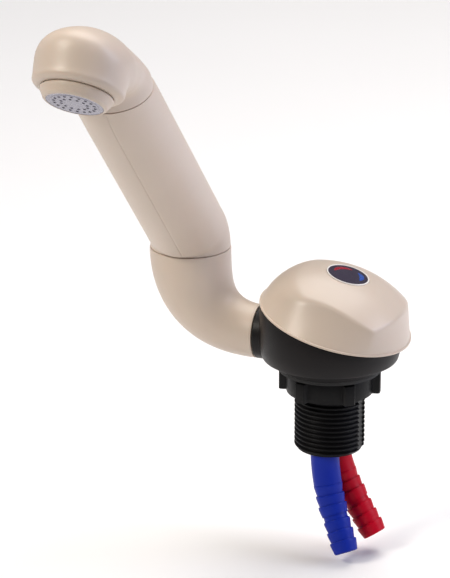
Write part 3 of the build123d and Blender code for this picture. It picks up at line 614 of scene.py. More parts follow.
@dataclass
class DeckBody:
    """Bowl of the body and the threaded shank under it."""

    base_radius: float = 24.4
    base_low: float = 1.6
    base_high: float = 4.6
    corner: Pair = (32.0, 6.3)
    side: Pair = (33.3, 14.2)
    wall: float = 3.2
    floor_high: float = 6.1
    floor_lip: float = 2.0
    foot_edge: float = 0.3
    band_edge: float = 0.2
    band_rise: float = 0.07
    corner_lead: float = 0.7
    corner_turn: float = 0.15
    side_start: Pair = (0.12, 0.4)
    side_bulge: float = 0.35
    side_steps: int = 8
    rim_gap: float = 0.5
    rim_edge: float = 0.5
    rim_turn: Pair = (0.15, 0.12)
    thread_radius: float = 16.625
    thread_depth: float = 1.35
    thread_pitch: float = 2.309
    thread_flat: float = 0.12
    rings_per_turn: int = 14
    shank_length: float = 39.3
    bore_radius: float = 14.15
    bore_edge: float = 0.4
    chamfer: float = 1.6
    keyway_half: float = 3.75
    keyway_depth: float = 1.5
    keyway_top: float = -1.0
    keyway_columns: int = 10
    keyway_margin: float = 0.4
    keyway_step: float = 0.05
    keyway_clear: float = 1.0
    columns: int = 168
    bowl_crease: float = 28.0
    shank_crease: float = 50.0

    def rim_height(self, x: float) -> float:
        """Height of the slanting rim at a distance along X."""
        drop = (x - KNOB_SEAT.origin.x) * math.tan(KNOB_TILT)
        return KNOB_SEAT.origin.z - self.rim_gap / math.cos(KNOB_TILT) - drop

    def bowl_rings(self) -> list[Ring]:
        """Lays the bowl's rings.

        Returns:
            Rings up its outside, over the slanting rim and down its inside.
        """
        angles = even_angles(self.columns)
        low, high, edge = self.base_low, self.base_high, self.foot_edge
        corner_radius, corner_height = self.corner
        outline = [
            (self.bore_radius, low), (self.base_radius - edge, low), (self.base_radius, low + edge),
            (self.base_radius, high - self.band_edge), (self.base_radius + edge, high + self.band_rise),
            (corner_radius - self.corner_lead, corner_height - self.band_edge),
            (corner_radius - self.corner_turn, corner_height),
        ]
        start_radius, start_height = corner_radius + self.side_start[0], corner_height + self.side_start[1]
        for share in spread(0, 1, self.side_steps):
            bulge = self.side_bulge * math.sin(math.pi * share)
            radius = start_radius + (self.side[0] - start_radius) * share
            outline.append((radius + bulge, start_height + (self.side[1] - start_height) * share))
        rings = UPRIGHT.stack(outline, angles)
        outer, inner = self.side[0], self.side[0] - self.wall
        rim = (
            (outer, self.rim_edge), (outer - self.rim_turn[0], self.rim_turn[1]),
            (outer - self.rim_edge, 0.0), (inner + edge, 0.0), (inner, edge),
        )
        for radius, drop in rim:
            ring = UPRIGHT.circle(radius, angles)
            rings.append([Vector((p.x, p.y, self.rim_height(p.x) - drop)) for p in ring])
        floor, lip, bore = self.floor_high, self.floor_lip, self.bore_radius
        seat = ((inner, floor), (bore - lip, floor), (bore - lip, floor - lip), (bore, floor - lip))
        return rings + UPRIGHT.stack(seat, angles)

    def thread_cut(self, turn: float, height: float) -> float:
        """Depth of the thread's groove below its crest.

        Args:
            turn: angle round the shank, in turns.
            height: height along it.

        Returns:
            The depth in millimetres, rounded at root and crest as a pipe thread is.
        """
        phase = (height / self.thread_pitch + turn) % 1.0
        slope = abs(2 * phase - 1)
        climb = min(max((slope - self.thread_flat) / (1 - 2 * self.thread_flat), 0.0), 1.0)
        return self.thread_depth * (0.5 - 0.5 * math.cos(math.pi * climb))

    def shank_rings(self) -> list[Ring]:
        """Lays the shank's rings, with its thread and its keyway.

        Returns:
            Rings down its outside, over the chamfered end and up its bore.
        """
        edge = math.degrees(math.asin(self.keyway_half / (self.thread_radius - self.thread_depth / 2)))
        step, margin, clear = self.keyway_step, self.keyway_margin, edge + self.keyway_clear
        plain = [a for a in even_angles(self.columns) if clear < a < 360 - clear]
        inside = spread(-edge + margin, edge - margin, self.keyway_columns)
        angles = [-edge - step, -edge + step, *inside, edge - step, edge + step, *plain]
        keyed = self.thread_radius - self.keyway_depth
        rings = []
        steps = int(self.shank_length / self.thread_pitch * self.rings_per_turn)
        for height in spread(self.base_low, -self.shank_length, steps):
            fade = min(max((height + self.shank_length) / self.chamfer, 0.0), 1.0)
            widest = self.thread_radius - self.chamfer * (1 - fade)
            ring = []
            for angle in angles:
                radius = min(self.thread_radius - self.thread_cut(angle / 360, height), widest)
                point = polar(radius, angle, height)
                if abs(angle) < edge and height < self.keyway_top:
                    point.x = min(point.x, keyed)
                ring.append(point)
            rings.append(ring)
        end, bore, soft = -self.shank_length, self.bore_radius, self.bore_edge
        return rings + UPRIGHT.stack(((bore + soft, end), (bore, end + soft), (bore, self.base_low)), angles)

    def build(self) -> None:
        """Makes the bowl and the shank in place of the moulding's plain solid."""
        bowl = skin("body_bowl", self.bowl_rings(), crease=self.bowl_crease)
        fit(bowl, "root", Finish.BLACK_NYLON, ["tap_body"])
        shank = skin("threaded_shank", self.shank_rings(), crease=self.shank_crease)
        fit(shank, "root", Finish.BLACK_ACETAL, ["tap_body"])
        dress("deck_gasket", Finish.NITRILE)
        dress("slip_washer", Finish.BLACK_ACETAL)
        dress("outlet_collar", Finish.BLACK_NYLON)


@dataclass
class LuggedNut:
    """Round nut with six lugs under the deck."""

    bore: float = 16.675
    outer: float = 20.625
    reach: float = 24.025
    lug_half: float = 2.6
    lugs: int = 6
    first_lug: float = 12.0
    low: float = -10.8
    high: float = -1.0
    softness: float = 0.35
    edge: float = 0.45
    edge_turn: float = 0.13
    bore_edge: float = 0.5
    lug_columns: int = 4
    gap_columns: int = 9
    crease: float = 40.0

    def outline(self) -> list[Pair]:
        """Lays the nut's outline.

        Returns:
            Radius and angle pairs round it, with softened lug corners.
        """
        foot = math.degrees(math.asin(self.lug_half / self.outer))
        tip = math.degrees(math.asin(self.lug_half / self.reach))
        rounding = self.softness
        soft = math.degrees(rounding / self.reach)
        top = spread(-tip + soft, tip - soft, self.lug_columns)
        gap = spread(foot + soft, 360 / self.lugs - foot - 2 * soft, self.gap_columns)
        lug = [(self.outer, -foot - soft), (self.outer + rounding, -foot + soft / 4)]
        lug += [(self.reach - rounding, -tip), *((self.reach, a) for a in top)]
        lug += [(self.reach - rounding, tip), (self.outer + rounding, foot - soft / 4)]
        lug += [(self.outer, a) for a in gap]
        middles = [self.first_lug + angle for angle in even_angles(self.lugs)]
        return [(radius, middle + a) for middle in middles for radius, a in lug]

    def build(self) -> None:
        """Makes the nut."""
        pairs = self.outline()
        rings = []
        low, high, edge, turn = self.low, self.high, self.edge, self.edge_turn
        for height, inset in ((low, edge), (low + turn, turn), (low + edge, 0.0),
                              (high - edge, 0.0), (high - turn, turn), (high, edge)):
            rings.append([polar(radius - inset, angle, height) for radius, angle in pairs])
        bore, soft = self.bore, self.bore_edge
        hole = ((bore + soft, high), (bore, high - soft), (bore, low + soft), (bore + soft, low))
        rings += UPRIGHT.stack(hole, [angle for _, angle in pairs])
        nut = skin("lugged_nut", rings, crease=self.crease)
        fit(nut, "nut", Finish.BLACK_ACETAL, ["mounting_nut"])


@dataclass
class HoseTail:
    """Semi-rigid hose tail with its bend and two groups of barbs."""

    node: str
    side: float
    bend_start: float
    bend_radius: float
    bend_angle: float
    end_length: float
    heading: float
    top: float = 3.6
    spigot_top: float = 12.0
    spigot: float = 5.0
    spigot_edge: float = 0.4
    spigot_bore: float = 3.2
    spacing: float = 6.95
    neck: float = 6.75
    bore: float = 4.0
    upper_barb: Pair = (6.85, 6.2)
    lower_barb: Pair = (6.4, 5.7)
    pitch: float = 5.1
    barb_length: float = 4.8
    barb_edge: tuple[Pair, ...] = ((0.0, 0.2), (0.12, 0.04), (0.3, 0.0))
    cone_share: float = 0.6
    cone_swell: float = 0.02
    barb_turn: Pair = (0.5, 0.06)
    land: float = 0.8
    group_gap: float = 2.5
    group_rows: int = 3
    barb_lead: float = 0.1
    tip: float = 1.0
    tip_round: float = 0.8
    tip_rows: int = 5
    bore_margin: Pair = (3.0, 2.0)
    bore_edge: float = 0.3
    rows: int = 24
    columns: int = 64
    crease: float = 38.0

    @property
    def length(self) -> float:
        """Length of the centre line below the body's floor."""
        return self.top + self.bend_start + self.bend_radius * math.radians(self.bend_angle) + self.end_length

    def station(self, distance: float) -> Station:
        """Station across the tail.

        Args:
            distance: how far down the centre line from the body's floor.

        Returns:
            The station, with z pointing to the tip.
        """
        straight = self.top + self.bend_start
        bent = self.bend_radius * math.radians(self.bend_angle)
        turn = min(max((distance - straight) / self.bend_radius, 0.0), math.radians(self.bend_angle))
        over = max(distance - straight - bent, 0.0)
        x = self.bend_radius * (1 - math.cos(turn)) + over * math.sin(turn)
        z = self.top - min(distance, straight) - self.bend_radius * math.sin(turn) - over * math.cos(turn)
        out, across = polar(1.0, self.heading), polar(1.0, self.heading + 90)
        origin = Vector((0, self.side * self.spacing, z)) + out * x
        return Station(origin, across, out * math.sin(turn) - Vector((0, 0, math.cos(turn))))

    def barb(self, shoulder: float, widest: float, root: float) -> list[Pair]:
        """Lays one barb: a soft shoulder, a land and a cone towards the tip.

        Args:
            shoulder: where it starts down the tail.
            widest: its radius at the land.
            root: its radius at the cone's end.

        Returns:
            Distance and radius pairs.
        """
        turn, fall = self.barb_turn
        pairs = [(shoulder + along, widest - inset) for along, inset in self.barb_edge]
        pairs += [(shoulder + self.land, widest), (shoulder + self.land + turn, widest - fall)]
        pairs += [(shoulder + self.barb_length * self.cone_share, (widest + root) / 2 + self.cone_swell)]
        pairs += [(shoulder + self.barb_length, root), (shoulder + self.pitch - fall, root)]
        return pairs

    def profile(self) -> list[Pair]:
        """Lays the whole section of the tail.

        Returns:
            Distance and radius pairs down the outside, round the tip and up the bore.
        """
        head = self.top - self.spigot_top
        spigot, edge = self.spigot, self.spigot_edge
        pairs = [(head, spigot - edge), (head + edge, spigot), (0.0, spigot)]
        lead, back = self.barb_lead, self.bore_margin
        neck_end = self.length - self.tip - 3 * self.pitch - self.group_gap
        first = neck_end - 2 * self.pitch - self.barb_length
        pairs += [(d, self.neck) for d in spread(0.0, first - lead, self.rows)]
        for end, (widest, root) in ((neck_end, self.upper_barb), (self.length - self.tip, self.lower_barb)):
            for index in (2, 1, 0):
                pairs += self.barb(end - index * self.pitch - self.barb_length, widest, root)
            if end == neck_end:
                gap = spread(neck_end + lead, neck_end + self.group_gap, self.group_rows)
                pairs += [(d, self.lower_barb[1]) for d in gap]
        centre = (self.length - self.tip_round, self.lower_barb[1] - self.tip_round)
        pairs = [pair for pair in pairs if pair[0] < centre[0]]
        pairs += arc_points(centre, self.tip_round, 90, 0, self.tip_rows)
        pairs += [(self.length, self.bore + self.bore_edge), (self.length - self.bore_edge, self.bore)]
        pairs += [(d, self.bore) for d in spread(self.length - back[0], back[1], self.rows)]
        pairs += [(0.0, self.spigot_bore), (head, self.spigot_bore)]
        return pairs

    def build(self, name: str, finish: MouldedPlastic, slot: str) -> None:
        """Makes the tail.

        Args:
            name: the new piece's name.
            finish: the plastic that it is moulded in.
            slot: name of a material slot; not used.
        """
        angles = even_angles(self.columns)
        rings = [self.station(distance).circle(radius, angles) for distance, radius in self.profile()]
        fit(skin(name, rings, crease=self.crease), "root", finish, [self.node])


@dataclass
class DomeKnob:
    """Faceted knob: a wall from a round rim to a four-sided crown, under a dome."""

    rim: float = 36.4
    bead: float = 0.3
    bead_height: float = 0.9
    bead_lead: float = 0.1
    bead_turn: Pair = (0.2, 0.05)
    wall: float = 2.3
    wall_lift: float = 0.05
    crown_height: float = 26.0
    front_corner: float = 32.8
    rear_corner: float = 27.1
    corner_angles: tuple[float, float, float, float] = (-45.0, 45.0, 119.0, 241.0)
    front_reach: float = 25.8
    back_reach: float = 27.1
    side_reach: float = 22.7
    side_length: float = 45.0
    dome_top: float = 24.6
    dome_radius: float = 54.6
    corner_softness: tuple[float, float, float, float] = (1.3, 1.3, 8.0, 8.0)
    crisp_crease: float = 1.5
    soft_crease: float = 11.0
    crease_power: int = 5
    badge_seat: float = 10.4
    badge_floor: float = 22.7
    seat_edge: float = 0.25
    seat_turn: Pair = (0.04, 0.08)
    floor_centre: float = 0.4
    ceiling_gap: float = 1.2
    ceiling_centre: float = 0.05
    columns_per_side: int = 44
    bead_rows: int = 4
    corner_band: float = 0.05
    corner_columns: int = 12
    decimals: int = 5
    crease: float = 48.0
    wall_rows: int = 14
    crease_rows: int = 8
    dome_rows: int = 22

    def crown_arcs(self, inset: float) -> list[Callable[[float], Vector]]:
        """Four arcs of the crown's outline.

        Args:
            inset: how far the outline is drawn in.

        Returns:
            A function of a share from 0 to 1 for each side.
        """
        reach = (self.front_corner, self.front_corner, self.rear_corner, self.rear_corner)
        corners = [polar(r - inset, a).to_2d() for a, r in zip(self.corner_angles, reach)]
        side_x = (corners[1].x + corners[2].x) / 2
        middles = [
            Vector((self.front_reach - inset, 0)), Vector((side_x, self.side_reach - inset)),
            Vector((-self.back_reach + inset, 0)), Vector((side_x, -self.side_reach + inset)),
        ]
        return [self.arc(corners[k], middles[k], corners[(k + 1) % 4]) for k in range(4)]

    @staticmethod
    def arc(start: Vector, middle: Vector, end: Vector) -> Callable[[float], Vector]:
        """Draws an arc through three points of a plane.

        Args:
            start: where it starts.
            middle: a point on its way.
            end: where it ends.

        Returns:
            A function that gives its point at a share from 0 to 1.
        """
        a, b = middle - start, end - start
        cross = 2 * (a.x * b.y - a.y * b.x)
        offset = Vector((b.y * a.length_squared - a.y * b.length_squared,
                         a.x * b.length_squared - b.x * a.length_squared)) / cross
        centre = start + offset
        first = math.atan2(-offset.y, -offset.x)
        sweep = math.atan2(end.y - centre.y, end.x - centre.x) - first
        mid_turn = (math.atan2(middle.y - centre.y, middle.x - centre.x) - first) % (2 * math.pi)
        sweep %= 2 * math.pi
        if mid_turn > sweep:
            sweep -= 2 * math.pi
        radius = offset.length

        def at(share: float) -> Vector:
            """Point of the arc."""
            angle = first + sweep * share
            return centre + Vector((math.cos(angle), math.sin(angle))) * radius

        return at

    def shares(self) -> list[float]:
        """Lays the columns round the knob, close together at the corners.

        Returns:
            Their places: whole numbers are the corners.
        """
        fine = self.decimals
        values = {round(k / self.columns_per_side, fine) for k in range(4 * self.columns_per_side)}
        for corner in range(4):
            for step in spread(-self.corner_band, self.corner_band, self.corner_columns):
                values.add(round((corner + step) % 4, fine))
        return sorted(values)

    def foot_angle(self, share: float) -> float:
        """Angle of a column's foot on the rim.

        Args:
            share: place round the knob.

        Returns:
            The angle in degrees.
        """
        side = int(share) % 4
        start = self.corner_angles[side]
        end = self.corner_angles[(side + 1) % 4] + (360 if side == 3 else 0)
        return start + (end - start) * (share - int(share))

    def crown(self, share: float, inset: float) -> Vector:
        """Point of the crown's outline, rounded near the corners.

        Args:
            share: place round the knob.
            inset: how far the outline is drawn in.

        Returns:
            The point in the knob's plane.
        """
        arcs = self.crown_arcs(inset)
        side = int(share) % 4
        corner = int(share + 0.5) % 4
        half = self.corner_softness[corner] / self.side_length
        away = share - int(share + 0.5)
        if abs(away) >= half:
            return arcs[side](share - int(share))
        before, after = arcs[(corner - 1) % 4](1 - half), arcs[corner](half)
        peak = arcs[corner](0.0)
        s = (away + half) / (2 * half)
        return before * (1 - s) ** 2 + peak * (2 * s * (1 - s)) + after * s ** 2

    def column(self, share: float, inset: float) -> tuple[Vector, Vector, Vector]:
        """Rim point, crease point and dome centre of one column.

        Args:
            share: place round the knob.
            inset: how far the form is drawn in.

        Returns:
            Three points in the knob's frame.
        """
        foot = polar(self.rim - inset, self.foot_angle(share))
        head = self.crown(share, inset).to_3d() + Vector((0, 0, self.crown_height))
        centre = Vector((0, 0, self.dome_top - self.dome_radius))
        line, offset, radius = head - foot, foot - centre, self.dome_radius - inset
        a, b, c = line.dot(line), 2 * line.dot(offset), offset.dot(offset) - radius * radius
        reach = (-b + math.sqrt(b * b - 4 * a * c)) / (2 * a)
        return foot, foot + line * reach, centre

    def rows(self, share: float, inset: float) -> list[Vector]:
        """Points of one column, from above the bead to the badge's edge.

        Args:
            share: place round the knob.
            inset: how far the form is drawn in.

        Returns:
            Points in the knob's frame, bottom first.
        """
        foot, crease, centre = self.column(share, inset)
        radius = self.dome_radius - inset
        turn = math.atan2(crease.y, crease.x)
        rear = 0.5 - 0.5 * math.cos(min(abs(turn), math.pi))
        soft = self.crisp_crease + (self.soft_crease - self.crisp_crease) * rear ** self.crease_power
        wall = (crease - foot).normalized()
        tilt = math.atan2(math.hypot(crease.x, crease.y), crease.z - centre.z)
        last = math.asin((self.badge_seat + self.seat_edge) / radius)

        def dome(angle: float) -> Vector:
            """Point of the dome at an angle from its top."""
            return polar(radius * math.sin(angle), math.degrees(turn), centre.z + radius * math.cos(angle))

        below, above = crease - wall * soft, dome(tilt - soft / radius)
        bottom = foot + wall * ((self.bead_height + self.wall_lift) / wall.z)
        points = [bottom + (below - bottom) * s for s in spread(0, 1, self.wall_rows)]
        for s in spread(0, 1, self.crease_rows)[1:]:
            points.append(below * (1 - s) ** 2 + crease * (2 * s * (1 - s)) + above * s ** 2)
        points += [dome(angle) for angle in spread(tilt - soft / radius, last, self.dome_rows)[1:]]
        return points

    def build(self) -> None:
        """Makes the shell with its bead, hollow inside and badge recess."""
        shares = self.shares()
        outer = [self.rows(share, 0.0) for share in shares]
        inner = [self.rows(share, self.wall) for share in shares]
        turns = [math.degrees(math.atan2(column[-1].y, column[-1].x)) for column in outer]
        ceiling, hub = self.badge_floor - self.ceiling_gap, self.ceiling_centre
        rings: list[Ring] = [[Vector((p[-1].x * hub, p[-1].y * hub, ceiling)) for p in inner]]
        for row in reversed(range(len(inner[0]))):
            rings.append([Vector((p[row].x, p[row].y, min(p[row].z, ceiling))) for p in inner])
        rim, bead, high = self.rim, self.bead, self.bead_height
        foot = [(rim - self.wall, 0.0), (rim - self.bead_lead, 0.0)]
        foot += arc_points((rim, bead), bead, -90, 0, self.bead_rows)
        foot += [(rim + bead, high - bead), (rim + self.bead_turn[0], high - self.bead_turn[1])]
        rings += UPRIGHT.stack(foot, [self.foot_angle(share) for share in shares])
        rings += [[p[row] for p in outer] for row in range(len(outer[0]))]
        high, seat, floor = outer[0][-1].z, self.badge_seat, self.badge_floor
        recess = ((seat + self.seat_turn[0], high - self.seat_turn[1]), (seat, high - self.seat_edge),
                  (seat, floor), (self.floor_centre, floor))
        rings += UPRIGHT.stack(recess, turns)
        placed = [[KNOB_SEAT.point(*p) for p in ring] for ring in rings]
        shell = skin("dome_knob", placed, closed=False, crease=self.crease)
        fit(shell, "knob", Finish.POLISHED_ASA, ["knob_shell"])


@dataclass
class KnobBadge:
    """Round badge with a red and a blue mark and no lettering."""

    face_height: float = 23.77
    mark_thickness: float = 0.06
    red_sweep: Pair = (92.0, 188.0)
    blue_sweep: Pair = (-14.0, 62.0)
    mark_middle: float = 6.6
    mark_half_width: float = 1.15
    mark_edge: float = 0.06
    edge_start: float = 0.7
    taper: float = 0.04
    taper_power: float = 0.7
    steps: int = 28

    def mark(self, name: str, sweep: Pair, finish: MouldedPlastic) -> None:
        """Makes one mark: a curved stroke with tapered ends.

        Args:
            name: the piece's name.
            sweep: its first and last angle, in degrees.
            finish: the paint.
        """
        angles = spread(*sweep, self.steps)
        shares = spread(self.taper, 1 - self.taper, self.steps)
        halves = [self.mark_half_width * math.sin(math.pi * s) ** self.taper_power for s in shares]
        outside = [(self.mark_middle + half, angle, 1) for half, angle in zip(halves, angles)]
        inside = [(self.mark_middle - half, angle, -1) for half, angle in zip(halves, angles)]
        thick = self.mark_thickness
        rings = []
        for height, inset in ((0.0, 0.0), (thick * self.edge_start, 0.0), (thick, self.mark_edge)):
            rings.append([
                KNOB_SEAT.point(*polar(radius - inset * side, angle, self.face_height + height))
                for radius, angle, side in outside + inside[::-1]
            ])
        fit(skin(name, rings, closed=False), "knob", finish)

    def build(self) -> None:
        """Dresses the badge and makes its two marks."""
        dress("badge_disc", Finish.BADGE_ACRYLIC)
        dress("badge_bezel", Finish.PEARL_LACQUER)
        self.mark("badge_red_mark", self.red_sweep, Finish.RED_ENAMEL)
        self.mark("badge_blue_mark", self.blue_sweep, Finish.BLUE_ENAMEL)


@dataclass
class FoldingElbow:
    """Ivory elbow from the socket to the swivel."""

    socket_reach: float = 35.3
    low_radius: float = 12.75
    high_radius: float = 19.25
    start_pull: float = 23.0
    end_pull: float = 24.0
    socket_bore: float = 9.05
    channel: float = 5.0
    swivel_depth: float = 11.0
    recess: float = 10.4
    recess_length: float = 5.6
    socket_depth: float = 9.0
    skin_shares: Pair = (0.012, 0.99)
    skin_rows: int = 54
    channel_shares: Pair = (0.6, 0.2)
    channel_rows: int = 10
    columns: int = 112
    crease: float = 40.0

    def station(self, share: float) -> Station:
        """Station across the elbow's centre line.

        Args:
            share: place along it, from 0 at the socket to 1 at the swivel.

        Returns:
            The station.
        """
        top, low = LOWER_SEAM.origin.z, OUTLET.origin.z
        xs = (-self.socket_reach, -self.socket_reach - self.start_pull, -SPOUT_REACH, -SPOUT_REACH)
        zs = (low, low, top - self.end_pull, top)
        rest = 1 - share
        weights = (rest ** 3, 3 * rest ** 2 * share, 3 * rest * share ** 2, share ** 3)
        slopes = (rest ** 2, 2 * rest * share, share ** 2)
        origin = Vector((sum(w * x for w, x in zip(weights, xs)), 0, sum(w * z for w, z in zip(weights, zs))))
        dx = sum(s * (xs[k + 1] - xs[k]) for k, s in enumerate(slopes))
        dz = sum(s * (zs[k + 1] - zs[k]) for k, s in enumerate(slopes))
        return Station(origin, Vector((0, 1, 0)), Vector((dx, 0, dz)).normalized())

    def build(self) -> None:
        """Makes the elbow with its bores."""
        angles = even_angles(self.columns)
        start, end = self.station(0.0), self.station(1.0)
        rings = seam_edge(start, self.low_radius, angles, 1)
        for share in spread(*self.skin_shares, self.skin_rows):
            growth = share * share * (3 - 2 * share)
            radius = self.low_radius + (self.high_radius - self.low_radius) * growth
            rings.append(self.station(share).circle(radius, angles))
        rings += seam_edge(end, self.high_radius, angles, -1)
        socket, recess, channel = self.socket_bore, self.recess, self.channel
        seat, deep = -self.swivel_depth, -self.swivel_depth - self.recess_length
        hole = ((socket, 0.0), (socket, seat), (recess, seat), (recess, deep), (channel, deep))
        rings += end.stack(hole, angles)
        for share in spread(*self.channel_shares, self.channel_rows):
            rings.append(self.station(share).circle(channel, angles))
        depth = self.socket_depth
        rings += start.stack(((channel, depth), (socket, depth), (socket, 0.0)), angles)
        elbow = skin("folding_elbow", rings, crease=self.crease)
        fit(elbow, "elbow_body", Finish.IVORY_ASA, ["elbow"])


@dataclass
class SwivelArm:
    """Ivory tube of the spout with its parting line."""

    lean: float = 45.0
    low_radius: float = 19.0
    radius: float = 18.45
    top_radius: float = 18.4
    wall: float = 2.8
    corner_height: float = 6.0
    line_angle: float = -78.0
    line_depth: float = 0.2
    line_half_width: float = 1.1
    line_flank: float = 0.5
    line_margin: float = 2.0
    # forward, height above the seam, lean and radius
    lower_bend: tuple[tuple[float, float, float, float], ...] = (
        (0.4, 4.2, 11.0, 18.8), (2.6, 8.8, 27.0, 18.55),
    )
    # distance from the corner or back from the end, and how much less it leans
    straight_start: Pair = (10.5, 4.0)
    straight_margin: float = 20.0
    straight_steps: int = 5
    upper_bend: tuple[Pair, ...] = ((11.0, 6.0), (5.0, 15.0))
    columns: int = 120
    crease: float = 40.0

    def along(self, distance: float, less: float = 0.0) -> Station:
        """Station across the arm.

        Args:
            distance: how far up from its lower corner.
            less: how much less than the arm it leans, in degrees.

        Returns:
            The station.
        """
        forward = distance * math.sin(math.radians(self.lean))
        height = LOWER_SEAM.origin.z + self.corner_height + distance * math.cos(math.radians(self.lean))
        return spout_station(forward, height, self.lean - less)

    def keys(self) -> list[tuple[Station, float]]:
        """Lays the stations that the arm's skin runs through.

        Returns:
            Stations and radii, from the lower seam to the upper one.
        """
        run = -UPPER_SEAM.origin.y / math.sin(math.radians(self.lean))
        seam, margin = LOWER_SEAM.origin.z, self.straight_margin
        keys = [(LOWER_SEAM.moved(SEAM_GAP), self.low_radius)]
        for forward, rise, lean, radius in self.lower_bend:
            keys.append((spout_station(forward, seam + rise, lean), radius))
        places = [self.along(*self.straight_start)]
        places += [self.along(distance) for distance in spread(margin, run - margin, self.straight_steps)]
        places += [self.along(run - before, less) for before, less in self.upper_bend]
        keys += [(place, self.radius) for place in places]
        return [*keys, (UPPER_SEAM, self.top_radius)]

    def ring(self, station: Station, radius: float, angles: Angles, groove: float) -> Ring:
        """Ring of the arm with the parting line's groove.

        Args:
            station: where the ring lies.
            radius: its radius.
            angles: where its points lie.
            groove: how deep the groove is there.

        Returns:
            The points.
        """
        points = []
        for angle in angles:
            away = abs((angle - self.line_angle + 180) % 360 - 180) / self.line_half_width
            cut = groove * max(1 - away, 0.0)
            points.append(station.circle(radius - cut, [angle])[0])
        return points

    def build(self) -> None:
        """Makes the arm."""
        half, flank = self.line_half_width, self.line_flank
        line = [self.line_angle + a for a in (-half, -flank, 0.0, flank, half)]
        even = [a - 180 for a in even_angles(self.columns)]
        angles = sorted([a for a in even if abs(a - self.line_angle) > self.line_margin] + line)
        keys = self.keys()
        skin_keys = [self.ring(station, radius, angles, self.line_depth) for station, radius in keys]
        bore_keys = [self.ring(station, radius - self.wall, angles, 0.0) for station, radius in keys]
        rings = seam_edge(keys[0][0], self.low_radius, angles, 1)
        rings += through(skin_keys, OUTSIDE_ROWS)[1:-1]
        rings += seam_edge(keys[-1][0], self.top_radius, angles, -1)
        rings += reversed(through(bore_keys, INSIDE_ROWS))
        arm = skin("swivel_arm", rings, crease=self.crease)
        fit(arm, "arm_body", Finish.IVORY_ASA, ["spout_arm"])


@dataclass
class SpoutHood:
    """Ivory hood that turns the spout down into the rose."""

    seam_radius: float = 18.4
    rim_radius: float = 20.6
    neck: float = 6.0
    inner_bend: float = 1.4
    wall: float = 2.6
    bevel_length: float = 3.2
    bore: float = 15.9
    bore_edge: float = 0.3
    bore_depth: float = 9.0
    inner_gap: float = 0.3
    columns: int = 128
    crease: float = 40.0
    # lean, distance of the back from the pivot and half width
    sections: tuple[tuple[float, float, float], ...] = (
        (18.0, 36.2, 18.5), (40.0, 30.2, 18.8), (62.0, 28.5, 19.5),
        (85.0, 31.5, 20.2), (105.0, 39.4, 21.1), (125.0, 47.6, 21.0),
    )
    bevel: tuple[Pair, ...] = (
        (20.58, -2.5), (20.42, -1.9), (20.05, -1.35), (19.45, -0.85), (18.7, -0.4), (18.1, -0.1), (17.5, 0.0),
    )

    def section(
        self, angle: float, far: float, half_width: float, inset: float, angles: Angles
    ) -> Ring:
        """Oval across the hood, between its inner bend and its back.

        Args:
            angle: how far the section leans, in degrees.
            far: distance of its back from the pivot under the bend.
            half_width: half its width.
            inset: how far it is drawn in.
            angles: where its points lie.

        Returns:
            The points.
        """
        side = self.seam_radius + self.inner_bend
        pivot = UPPER_SEAM.moved(self.neck).point(0, -side)
        out = Vector((0, math.cos(math.radians(angle)), math.sin(math.radians(angle))))
        centre = pivot + out * ((self.inner_bend + far) / 2)
        station = spout_station(-centre.y, centre.z, angle)
        return station.oval(half_width - inset, (far - self.inner_bend) / 2 - inset, angles)

    def keys(self, inset: float, gap: float, angles: Angles) -> list[Ring]:
        """Lays the rings that the hood's skin runs through.

        Args:
            inset: how far the form is drawn in.
            gap: how far above the seam it starts.
            angles: where the points lie, in degrees.

        Returns:
            The rings, from its seam to its rim.
        """
        keys = [UPPER_SEAM.moved(gap).circle(self.seam_radius - inset, angles)]
        keys += [self.section(*section, inset, angles) for section in self.sections]
        keys.append(ROSE_SEAT.moved(-self.bevel_length).circle(self.rim_radius - inset, angles))
        return keys

    def build(self) -> None:
        """Makes the hood."""
        angles = even_angles(self.columns)
        rings = seam_edge(UPPER_SEAM.moved(SEAM_GAP), self.seam_radius, angles, 1)
        rings += through(self.keys(0.0, SEAM_GAP, angles), OUTSIDE_ROWS)[1:]
        bore, edge = self.bore, self.bore_edge
        rim = (*self.bevel, (bore + edge, 0.0), (bore, -edge), (bore, -self.bore_depth))
        rings += ROSE_SEAT.stack(rim, angles)
        rings += reversed(through(self.keys(self.wall, self.inner_gap, angles)[:-1], INSIDE_ROWS))
        hood = skin("spout_hood", rings, crease=self.crease)
        fit(hood, "head_body", Finish.IVORY_ASA, ["spout_head"])


